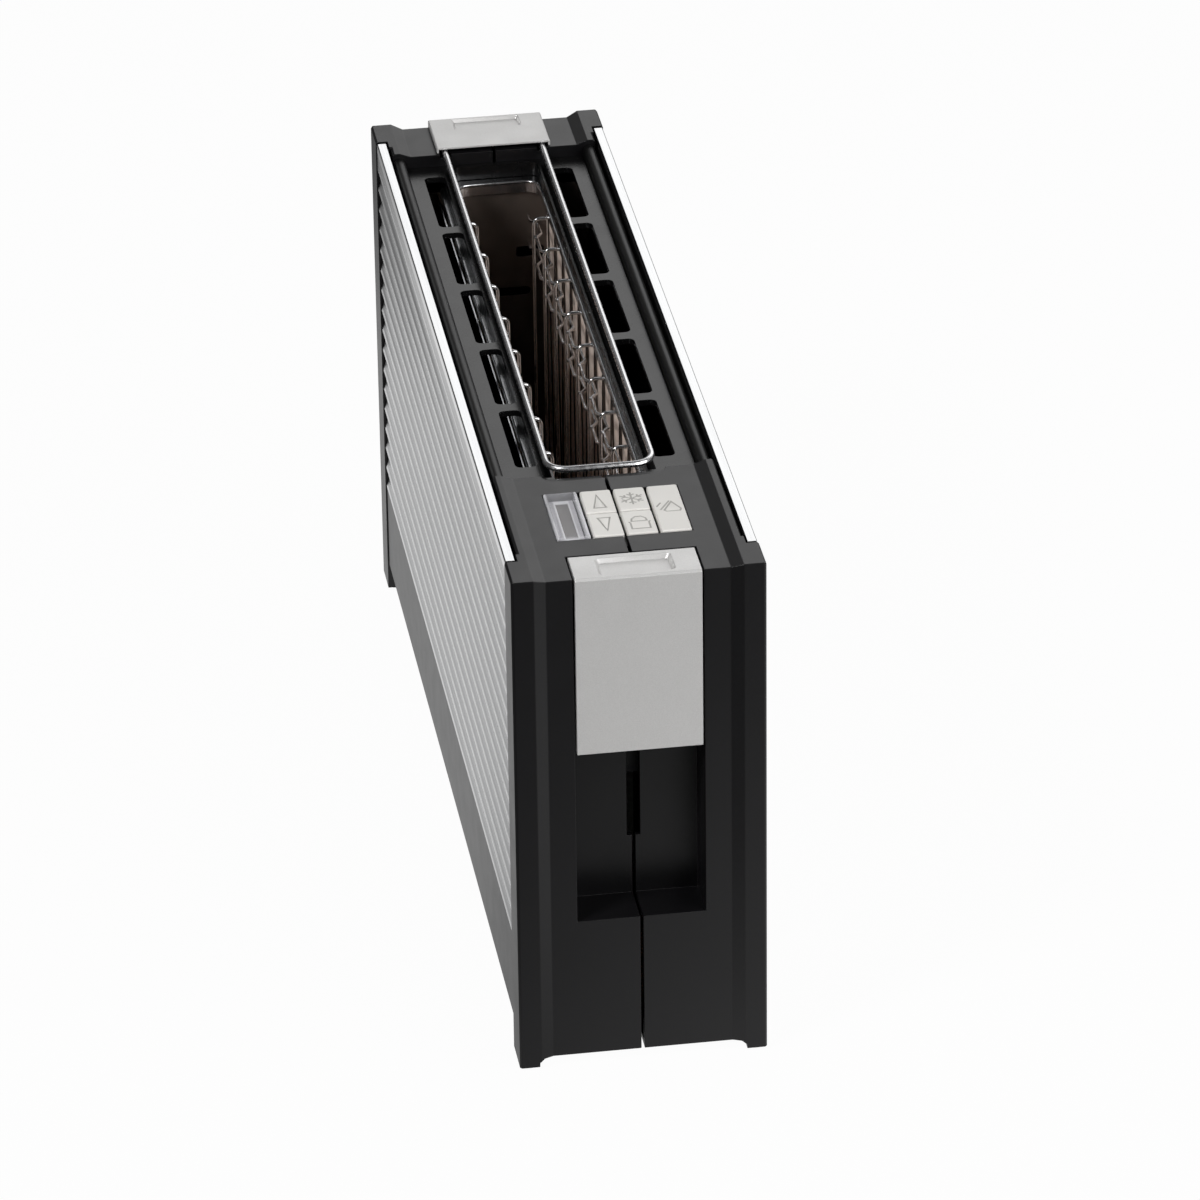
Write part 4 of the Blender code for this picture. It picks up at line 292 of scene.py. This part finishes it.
def drawn_metal(name, colour, roughness, grain, depth, spread=0.06):
    """Metal with fine streaks along its longest grain direction."""
    made, tree, shader = material(name)
    streaks = noise(tree, grain, FINE_DETAIL)
    colours = mixed(tree, ranged(tree, streaks, 0, 1), shade(colour, 1 - spread), shade(colour, 1 + spread))
    tree.links.new(colours, shader.inputs["Base Color"])
    tree.links.new(ranged(tree, streaks, roughness - 0.06, roughness + 0.06), shader.inputs["Roughness"])
    shader.inputs["Metallic"].default_value = 1
    bumped(tree, shader, streaks, depth)
    return made


def fluted_metal_painted_light(name, valley_shade_colour, crest_highlight_colour, roughness):
    """Drawn aluminium with painted light: a dark colour in the valleys of its flutes for shade, and a pale
    one along their crests and on the top rail for highlights.
    """
    made, tree, shader = material(name)
    z = object_axes(tree)["Z"]
    turn = calculated(tree, "MULTIPLY_ADD", z, math.tau / FLUTE_PITCH, -math.tau * FLUTE_CREST / FLUTE_PITCH)
    # Painted highlight: the pale colour along each flute's crest
    crest_highlights = remapped(tree, calculated(tree, "COSINE", turn), (CREST_HIGHLIGHT_START, 1), 0, 1, smooth=True)
    # Painted highlight along the top rail
    rail_highlight = remapped(tree, z, (RAIL_START, RAIL_END), 0, RAIL_HIGHLIGHT)
    painted_highlight = calculated(tree, "MAXIMUM", crest_highlights, rail_highlight)
    streaks = noise(tree, FLUTE_STREAKS, FINE_DETAIL)
    # Painted shade: the dark valley colour, with faint streaks
    low = mixed(tree, ranged(tree, streaks, 0, 1), shade(valley_shade_colour, 0.94), shade(valley_shade_colour, 1.06))
    tree.links.new(mixed(tree, painted_highlight, low, crest_highlight_colour), shader.inputs["Base Color"])
    tree.links.new(ranged(tree, streaks, roughness - 0.05, roughness + 0.05), shader.inputs["Roughness"])
    shader.inputs["Metallic"].default_value = 1
    bumped(tree, shader, streaks, POLISH_BUMP)
    return made


def silver_paint(name, colour):
    """Silver paint: fine flakes under a satin coat."""
    made, tree, shader = material(name)
    flakes = tree.nodes.new("ShaderNodeTexVoronoi")
    flakes.inputs["Scale"].default_value = 1
    tree.links.new(grained(tree, PAINT_FLAKES), flakes.inputs["Vector"])
    grey = tree.nodes.new("ShaderNodeRGBToBW")
    tree.links.new(flakes.outputs["Color"], grey.inputs["Color"])
    colours = mixed(tree, grey.outputs["Val"], shade(colour, 0.93), shade(colour, 1.06))
    tree.links.new(colours, shader.inputs["Base Color"])
    tree.links.new(ranged(tree, noise(tree, PAINT_CLOUD), 0.36, 0.44), shader.inputs["Roughness"])
    shader.inputs["Metallic"].default_value = 0.35
    bumped(tree, shader, grey.outputs["Val"], PAINT_BUMP)
    return made


def heat_tinted(name, colour, tint):
    """Sheet that heat has browned in clouds."""
    made, tree, shader = material(name)
    cloud = noise(tree, HEAT_CLOUD, CLOUD_DETAIL)
    tree.links.new(mixed(tree, ranged(tree, cloud, 0, 1), colour, tint), shader.inputs["Base Color"])
    tree.links.new(ranged(tree, cloud, 0.32, 0.5), shader.inputs["Roughness"])
    shader.inputs["Metallic"].default_value = 0.55
    bumped(tree, shader, noise(tree, HEAT_GRAIN), SHEET_BUMP)
    return made


def mica_sheet(name, colour, vein):
    """Pressed mica: overlapping flakes with darker veins and a slight shine."""
    made, tree, shader = material(name)
    flakes = tree.nodes.new("ShaderNodeTexVoronoi")
    flakes.inputs["Scale"].default_value = 1
    tree.links.new(grained(tree, MICA_FLAKES), flakes.inputs["Vector"])
    grey = tree.nodes.new("ShaderNodeRGBToBW")
    tree.links.new(flakes.outputs["Color"], grey.inputs["Color"])
    tree.links.new(mixed(tree, grey.outputs["Val"], colour, vein), shader.inputs["Base Color"])
    tree.links.new(ranged(tree, grey.outputs["Val"], 0.3, 0.5), shader.inputs["Roughness"])
    bumped(tree, shader, grey.outputs["Val"], MICA_BUMP)
    return made


def circuit_board(name):
    """A coated board with copper tracks showing through the green."""
    made, tree, shader = material(name)
    tracks = tree.nodes.new("ShaderNodeTexBrick")
    tracks.inputs["Color1"].default_value = (0.02, 0.12, 0.05, 1)
    tracks.inputs["Color2"].default_value = (0.03, 0.15, 0.06, 1)
    tracks.inputs["Mortar"].default_value = (0.10, 0.28, 0.12, 1)
    tracks.inputs["Scale"].default_value = 1
    tracks.inputs["Mortar Size"].default_value = 0.06
    tree.links.new(grained(tree, TRACKS), tracks.inputs["Vector"])
    tree.links.new(tracks.outputs["Color"], shader.inputs["Base Color"])
    tree.links.new(ranged(tree, noise(tree, CLOUD_4_MM), 0.25, 0.4), shader.inputs["Roughness"])
    bumped(tree, shader, tracks.outputs["Fac"], MICA_BUMP)
    return made


def wound_copper(name):
    """Fine copper wire wound in level turns."""
    made, tree, shader = material(name)
    turns = tree.nodes.new("ShaderNodeTexWave")
    turns.bands_direction = "Z"
    turns.inputs["Scale"].default_value = 1
    turns.inputs["Distortion"].default_value = 0.4
    tree.links.new(grained(tree, COIL_TURNS), turns.inputs["Vector"])
    colours = mixed(tree, turns.outputs["Fac"], (0.22, 0.09, 0.05), (0.62, 0.30, 0.16))
    tree.links.new(colours, shader.inputs["Base Color"])
    tree.links.new(ranged(tree, turns.outputs["Fac"], 0.25, 0.45), shader.inputs["Roughness"])
    shader.inputs["Metallic"].default_value = 0.8
    bumped(tree, shader, turns.outputs["Fac"], TURN_BUMP)
    return made


def outward(tree, node, portions):
    """How far a point lies from a node's middle: 1 at a portion of its half size, by the farther axis."""
    low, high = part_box(node)
    axes = object_axes(tree)
    shares = []
    for i, (axis, portion) in enumerate(zip("XY", portions)):
        away = calculated(tree, "SUBTRACT", axes[axis], (low[i] + high[i]) / 2)
        share = calculated(tree, "MULTIPLY", away, 2 / (high[i] - low[i]) / portion)
        shares.append(calculated(tree, "ABSOLUTE", share))
    return calculated(tree, "MAXIMUM", *shares)


def clear_window(name):
    """Clear plastic, faintly milky, that turns pale and opaque towards its moulded rim: a painted highlight
    along the rim.
    """
    made, tree, shader = material(name)
    cloud = noise(tree, CLOUD_4_MM)
    tree.links.new(mixed(tree, cloud, (0.62, 0.62, 0.65), (0.74, 0.74, 0.77)), shader.inputs["Base Color"])
    tree.links.new(ranged(tree, cloud, 0.08, 0.14), shader.inputs["Roughness"])
    rim = outward(tree, "display_window", RIM_HIGHLIGHT_PORTIONS)
    # Painted highlight: the window turns pale and opaque towards its rim
    milk_and_rim_highlight = remapped(tree, rim, (1, RIM_HIGHLIGHT_FULL), MILK_LEAST, RIM_HIGHLIGHT_MOST, smooth=True)
    tree.links.new(milk_and_rim_highlight, shader.inputs["Alpha"])
    shader.inputs["IOR"].default_value = 1.49
    bumped(tree, shader, cloud, FAINT_BUMP)
    return made


def display_bed(name):
    """Pale bed of the display with a grey strip in its middle and a bright line round it."""
    made, tree, shader = material(name)
    bands = tree.nodes.new("ShaderNodeValToRGB")
    ramp = bands.color_ramp
    for place, colour in DISPLAY_BANDS:
        band = ramp.elements[-place] if place in (0, 1) else ramp.elements.new(place)
        band.color = (*colour, 1)
    halved = calculated(tree, "MULTIPLY", outward(tree, "display_panel", STRIP_PORTIONS), 0.5)
    tree.links.new(halved, bands.inputs["Fac"])
    cloud = noise(tree, BED_CLOUD)
    tint = mixed(tree, ranged(tree, cloud, 0, 0.25), (1, 1, 1), (0.72, 0.74, 0.80))
    blend = tree.nodes.new("ShaderNodeMix")
    blend.data_type = "RGBA"
    blend.blend_type = "MULTIPLY"
    blend.inputs["Factor"].default_value = 1
    tree.links.new(bands.outputs["Color"], blend.inputs[FIRST_COLOUR])
    tree.links.new(tint, blend.inputs[SECOND_COLOUR])
    tree.links.new(blend.outputs[MIXED_COLOUR], shader.inputs["Base Color"])
    tree.links.new(ranged(tree, cloud, 0.3, 0.45), shader.inputs["Roughness"])
    bumped(tree, shader, cloud, FAINT_BUMP)
    return made


MATERIALS = {
    "cap": moulded("black_moulding", (0.0034, 0.0032, 0.0038), 0.36, 0.38),
    "skirt": moulded("skirt_moulding", (0.011, 0.011, 0.012), 0.38, 0.47),
    "grille": moulded("grille_moulding", (0.0032, 0.0031, 0.0033), 0.27, 0.32, depth=GRILLE_BUMP),
    "inner": moulded("inner_moulding", (0.003, 0.003, 0.003), 0.40, 0.30),
    "key": moulded("key_moulding", (0.69, 0.675, 0.645), 0.5, 0.4, depth=KEY_BUMP, spread=0.02),
    # Darker colour of the engraved lines: painted shade in the grooves
    "groove": moulded("groove_moulding", (0.40, 0.39, 0.37), 0.5, 0.4, depth=KEY_BUMP, spread=0.02),
    "rubber": moulded("rubber_pad", (0.012, 0.012, 0.012), 0.75, 0.3, grain=0.0008, depth=RUBBER_BUMP),
    "display": display_bed("display_bed"),
    # Dark valley and pale crest colours of the panels: painted shade and painted highlights
    "panel": fluted_metal_painted_light("fluted_aluminium", (0.31, 0.315, 0.32), (0.86, 0.865, 0.87), 0.24),
    "bright": drawn_metal("bright_steel", (0.72, 0.72, 0.73), 0.16, EVEN_STEEL, BRIGHT_BUMP),
    "satin": drawn_metal("satin_wire", (0.74, 0.74, 0.75), 0.27, EVEN_STEEL, BRIGHT_BUMP),
    "liner": drawn_metal("liner_steel", (0.72, 0.73, 0.75), 0.18, LINER_STREAKS, POLISH_BUMP),
    # Near-black steel: painted shade, so the lever stem reads as the dark of the slot it stands in
    "blued": drawn_metal("blued_steel", (0.03, 0.03, 0.032), 0.45, ROLLED_STEEL, SHEET_BUMP, spread=0.12),
    "steel": drawn_metal("zinc_steel", (0.34, 0.335, 0.33), 0.42, ROLLED_STEEL, SHEET_BUMP, spread=0.12),
    "silver": silver_paint("silver_paint", (0.585, 0.58, 0.572)),
    "dark_sheet": heat_tinted("heat_darkened_sheet", (0.085, 0.07, 0.06), (0.13, 0.105, 0.09)),
    "mica": mica_sheet("mica_sheet", (0.92, 0.80, 0.72), (0.74, 0.60, 0.52)),
    "ribbon": heat_tinted("heater_alloy", (0.035, 0.028, 0.024), (0.06, 0.048, 0.04)),
    "board": circuit_board("coated_board"),
    "copper": wound_copper("wound_copper"),
    "clear": clear_window("clear_window"),
}

# Finish and edge radius of each node's piece, by the start of its name.
DRESS = {
    "front_cap": ("cap", MOULDED_EDGE),
    "rear_cap": ("cap", MOULDED_EDGE),
    "foot_pad": ("rubber", FINE_EDGE),
    "side_panel": ("panel", FINE_EDGE),
    "skirt": ("skirt", SHEET_EDGE),
    "inner_wall": ("inner", SHEET_EDGE),
    "base_plate": ("cap", SHEET_EDGE),
    "housing_screw": ("steel", FINE_EDGE),
    "cord_gland": ("rubber", SHEET_EDGE),
    "vent_cover": ("grille", GRILLE_EDGE),
    "slot_liner": ("liner", LINER_EDGE),
    "chamber_end": ("dark_sheet", FINE_EDGE),
    "reflector": ("liner", FINE_EDGE),
    "mica_card": ("mica", FINE_EDGE),
    "heater_ribbon": ("ribbon", 0),
    "guard": ("bright", 0),
    "lever_cover": ("silver", COVER_EDGE),
    # The stem's near-black steel is painted shade
    "lever_stem": ("blued", FINE_EDGE),
    "carriage": ("inner", SHEET_EDGE),
    "armature": ("blued", FINE_EDGE),
    "bread_rack": ("steel", FINE_EDGE),
    "return_spring": ("steel", 0),
    "mechanism_frame": ("steel", FINE_EDGE),
    "guide_rod": ("bright", 0),
    "latch_magnet": ("copper", SHEET_EDGE),
    "power_board": ("board", FINE_EDGE),
    "control_board": ("board", FINE_EDGE),
    "button_carrier": ("inner", FINE_EDGE),
    "display_window": ("clear", WINDOW_EDGE),
    "display_panel": ("display", FINE_EDGE),
    "button": ("key", KEY_EDGE),
    "rack_handle": ("silver", FINE_EDGE),
    "rack_wire": ("satin", WIRE_EDGE),
    "rack_leg": ("steel", FINE_EDGE),
    "rack_guide": ("inner", SHEET_EDGE),
    "crumb_tray_front": ("cap", SHEET_EDGE),
    "crumb_tray": ("steel", FINE_EDGE),
}


def body_of(node):
    """The body that a node belongs to."""
    for body, members in frame["record"]["behaviour"]["bodies"].items():
        if node in members:
            return body


def dress_of(node):
    """The entry of DRESS with the longest start of the node's name."""
    return DRESS[max((start for start in DRESS if node.startswith(start)), key=len)]


def clean_copy(node):
    """The node's mesh with its points joined and its flat faces made whole."""
    source = frame["nodes"][node].data
    built = bmesh.new()
    corners = [built.verts.new(vertex.co) for vertex in source.vertices]
    for polygon in source.polygons:
        face = [corners[index] for index in polygon.vertices]
        if len(set(face)) > 2:
            built.faces.new(face)
    bmesh.ops.remove_doubles(built, verts=built.verts, dist=WELD_REACH)
    bmesh.ops.dissolve_limit(built, angle_limit=FLAT_ANGLE, verts=built.verts, edges=built.edges)
    mesh = bpy.data.meshes.new(node + "_form")
    built.to_mesh(mesh)
    built.free()
    return mesh


def flattened_rim(mesh):
    """Press the top of the liner's bead flat, as far in as it reaches."""
    low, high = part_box("slot_liner")
    for vertex in mesh.vertices:
        if RIM_LEAST < high.z - vertex.co.z < RIM_MOST:
            vertex.co.z = high.z


def soften(piece, edge, least_angle):
    """Rounded edges, where faces meet at the least angle or more, with flat faces that stay flat."""
    bevel = piece.modifiers.new("edges", "BEVEL")
    bevel.width = edge
    bevel.segments = BEVEL_SEGMENTS
    bevel.limit_method = "ANGLE"
    bevel.angle_limit = least_angle
    bevel.harden_normals = True


def linked(name, mesh, finish_name, body):
    """A piece of the toaster that rides on a body."""
    piece = bpy.data.objects.new(name, mesh)
    bpy.context.collection.objects.link(piece)
    mesh.materials.clear()
    mesh.materials.append(MATERIALS[finish_name])
    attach(piece, body)
    return piece


def dress_nodes():
    """A finished piece in the place of each node."""
    for node in sorted(frame["nodes"]):
        finish_name, edge = dress_of(node)
        mesh = clean_copy(node)
        if node == "slot_liner":
            flattened_rim(mesh)
        mesh.shade_smooth()
        piece = linked(node + "_form", mesh, finish_name, body_of(node))
        if edge:
            soften(piece, edge, FOLD_ANGLE if finish_name == FOLDED_FINISH else BEVEL_ANGLE)
        else:
            mesh.set_sharp_from_angle(angle=SMOOTH_ANGLE)
        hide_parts(node)
        if node in ENGRAVING:
            engraved(piece, ENGRAVING[node])


def groove(built, points, closed, top_z):
    """A V-shaped cutter along points, mitred at its corners."""
    count = len(points)
    rings = []
    for i, point in enumerate(points):
        before = points[i - 1] if closed or i else None
        after = points[(i + 1) % count] if closed or i < count - 1 else None
        normals = []
        for a, b in ((before, point), (point, after)):
            if a is not None and b is not None:
                along = (b - a).normalized()
                normals.append(Vector((-along.y, along.x)))
        middle = sum(normals, Vector((0, 0))).normalized()
        reach = GROOVE_HALF / max(MITRE_LEAST, middle.dot(normals[0]))
        left = point + middle * reach
        right = point - middle * reach
        places = ((left, top_z + GROOVE_OVER), (right, top_z + GROOVE_OVER), (point, top_z - GROOVE_DEPTH))
        rings.append([built.verts.new((spot.x, spot.y, z)) for spot, z in places])
    for i in range(count if closed else count - 1):
        near, far = rings[i], rings[(i + 1) % count]
        for a, b in ((0, 1), (1, 2), (2, 0)):
            built.faces.new((near[a], near[b], far[b], far[a]))
    if not closed:
        built.faces.new(rings[0])
        built.faces.new(rings[-1][::-1])


def engraved(piece, lines):
    """Cut lines into the top of a key; each is (points in millimetres from the key's middle, closed). The
    cut faces take the darker groove colour, a painted shade in the lines.
    """
    low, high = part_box(piece.name[:-len("_form")])
    middle = (low + high) / 2
    built = bmesh.new()
    for points, closed in lines:
        path = [Vector((middle.x + x * MILLIMETRE, middle.y + y * MILLIMETRE)) for x, y in points]
        groove(built, path, closed, high.z)
    bmesh.ops.recalc_face_normals(built, faces=built.faces)
    mesh = bpy.data.meshes.new("grooves")
    built.to_mesh(mesh)
    built.free()
    # The cutter's faces carry the painted shade of the grooves into the cut
    mesh.materials.append(MATERIALS["groove"])
    cutter = bpy.data.objects.new("grooves", mesh)
    bpy.context.collection.objects.link(cutter)
    carve = piece.modifiers.new("engraving", "BOOLEAN")
    carve.object = cutter
    carve.solver = "EXACT"
    carve.use_self = True
    carve.material_mode = "TRANSFER"
    piece.modifiers.new("even_normals", "WEIGHTED_NORMAL")
    depsgraph = bpy.context.evaluated_depsgraph_get()
    baked = bpy.data.meshes.new_from_object(piece.evaluated_get(depsgraph))
    piece.modifiers.clear()
    piece.data = baked
    bpy.data.objects.remove(cutter)


def snowflake(radius, barb):
    """Three crossed lines with two barbs near each of their tips."""
    lines = []
    for i in range(6):
        turn = math.tau * (i + 0.5) / 6
        tip = Vector((math.cos(turn), math.sin(turn))) * radius
        if i < 3:
            lines.append(([tuple(-tip), tuple(tip)], False))
        fork = tip * BARB_PLACE
        for lean in (-1, 1):
            end = fork + Vector((math.cos(turn + lean), math.sin(turn + lean))) * barb
            lines.append(([tuple(fork), tuple(end)], False))
    return lines


ENGRAVING = {
    "button_up": [([(0, 5.2), (-2.4, -5.6), (2.4, -5.6)], True)],
    "button_down": [([(0, -5.2), (2.4, 5.4), (-2.4, 5.4)], True)],
    "button_defrost": snowflake(5.0, 1.7),
    "button_bun": [
        ([(-4.1, 0.2), (-3.6, -0.8), (-3.6, -5.6), (3.6, -5.6), (3.6, -0.8), (4.1, 0.2)], False),
        ([(-3.0, 0.6), (-2.7, 2.6), (-1.2, 4.3), (1.2, 4.3), (2.7, 2.6), (3.0, 0.6)], True),
    ],
    "button_stop": [
        ([(-4.7, 1.0), (-2.7, 4.2)], False),
        ([(-3.6, -1.8), (0.8, 5.4)], False),
        ([(-2.2, -2.2), (1.5, 4.6), (4.4, -1.6), (3.9, -3.2), (-1.4, -3.2)], True),
    ],
}


def studio_surface(name, colour):
    """A pale matt surface that shows as white to the camera and, in reflections, as a glow that dims to the
    left front and far out, under its shadow.
    """
    made = bpy.data.materials.new(name)
    made.use_nodes = True
    tree = made.node_tree
    tree.nodes.clear()
    output = tree.nodes.new("ShaderNodeOutputMaterial")
    matt = tree.nodes.new("ShaderNodeBsdfDiffuse")
    matt.inputs["Color"].default_value = colour
    glow = tree.nodes.new("ShaderNodeEmission")
    glow.inputs["Color"].default_value = WHITE
    place = tree.nodes.new("ShaderNodeTexCoord")
    gains = []
    for operation, point, reach, low, high in (
            ("DOT_PRODUCT", SHEEN_AXIS, (SHEEN_START, SHEEN_END), SHEEN_DIM, SHEEN_BRIGHT),
            ("DISTANCE", (0, 0, 0), (FADE_START, FADE_END), 1, FADE_LEAST)):
        measure = tree.nodes.new("ShaderNodeVectorMath")
        measure.operation = operation
        measure.inputs[1].default_value = point
        tree.links.new(place.outputs["Object"], measure.inputs[0])
        gains.append(remapped(tree, measure.outputs["Value"], reach, low, high))
    sheen = calculated(tree, "MULTIPLY", *gains)
    path = tree.nodes.new("ShaderNodeLightPath")
    strength = tree.nodes.new("ShaderNodeMix")
    strength.inputs["A"].default_value = 1
    tree.links.new(path.outputs["Is Glossy Ray"], strength.inputs["Factor"])
    tree.links.new(sheen, strength.inputs["B"])
    tree.links.new(strength.outputs["Result"], glow.inputs["Strength"])
    share = calculated(tree, "MAXIMUM", calculated(tree, "MULTIPLY", seen_ray(tree), FLOOR_WHITE_SHARE),
                       calculated(tree, "MULTIPLY", path.outputs["Is Glossy Ray"], FLOOR_SHEEN_SHARE))
    mix = tree.nodes.new("ShaderNodeMixShader")
    tree.links.new(share, mix.inputs[0])
    tree.links.new(matt.outputs[0], mix.inputs[1])
    tree.links.new(glow.outputs[0], mix.inputs[2])
    tree.links.new(mix.outputs[0], output.inputs["Surface"])
    return made


def room_light(tree):
    """A dim room with a brighter wall behind and to the right."""
    coordinates = tree.nodes.new("ShaderNodeTexCoord")
    towards = tree.nodes.new("ShaderNodeVectorMath")
    towards.operation = "DOT_PRODUCT"
    towards.inputs[1].default_value = BACK_DIRECTION
    tree.links.new(coordinates.outputs["Generated"], towards.inputs[0])
    wall = remapped(tree, towards.outputs["Value"], (RAMP_START, RAMP_END), 0, AMBIENT_BACK, smooth=True)
    return calculated(tree, "ADD", wall, AMBIENT)


def seen_ray(tree):
    """1 for a ray from the camera or through the window, and 0 for others."""
    path = tree.nodes.new("ShaderNodeLightPath")
    return calculated(tree, "MAXIMUM", path.outputs["Is Camera Ray"], path.outputs["Is Transmission Ray"])


def studio():
    """Floor, room and lamps."""
    built = bmesh.new()
    bmesh.ops.create_grid(built, x_segments=1, y_segments=1, size=FLOOR_HALF)
    mesh = bpy.data.meshes.new("floor")
    built.to_mesh(mesh)
    built.free()
    floor = bpy.data.objects.new("floor", mesh)
    mesh.materials.append(studio_surface("pale_floor", FLOOR_COLOUR))
    bpy.context.collection.objects.link(floor)

    world = bpy.data.worlds.new("studio")
    world.use_nodes = True
    tree = world.node_tree
    background = tree.nodes["Background"]
    background.inputs["Color"].default_value = WHITE
    strength = tree.nodes.new("ShaderNodeMix")
    strength.inputs["B"].default_value = 1
    tree.links.new(seen_ray(tree), strength.inputs["Factor"])
    tree.links.new(room_light(tree), strength.inputs["A"])
    tree.links.new(strength.outputs["Result"], background.inputs["Strength"])
    bpy.context.scene.world = world

    for name, lamp in LAMPS.items():
        data = bpy.data.lights.new(name, "AREA")
        data.shape = "RECTANGLE"
        data.size = lamp["width"]
        data.size_y = lamp["height"]
        data.energy = lamp["power"]
        light = bpy.data.objects.new(name, data)
        light.location = lamp["place"]
        light.rotation_euler = (Vector(AIM) - light.location).to_track_quat("-Z", "Y").to_euler()
        light.visible_camera = False
        bpy.context.collection.objects.link(light)


def camera():
    """The camera that was fitted to the photo."""
    data = bpy.data.cameras.new("camera")
    data.sensor_width = SENSOR_MM
    data.lens = LENS_MM
    data.clip_start = NEAR
    data.clip_end = FAR
    eye = bpy.data.objects.new("camera", data)
    eye.location = CAMERA_PLACE
    eye.rotation_euler = Euler([math.radians(angle) for angle in CAMERA_ANGLES], "XYZ")
    bpy.context.collection.objects.link(eye)
    bpy.context.scene.camera = eye


camera()
studio()
dress_nodes()
bpy.context.scene.view_settings.view_transform = "Standard"
bpy.context.view_layer.update()
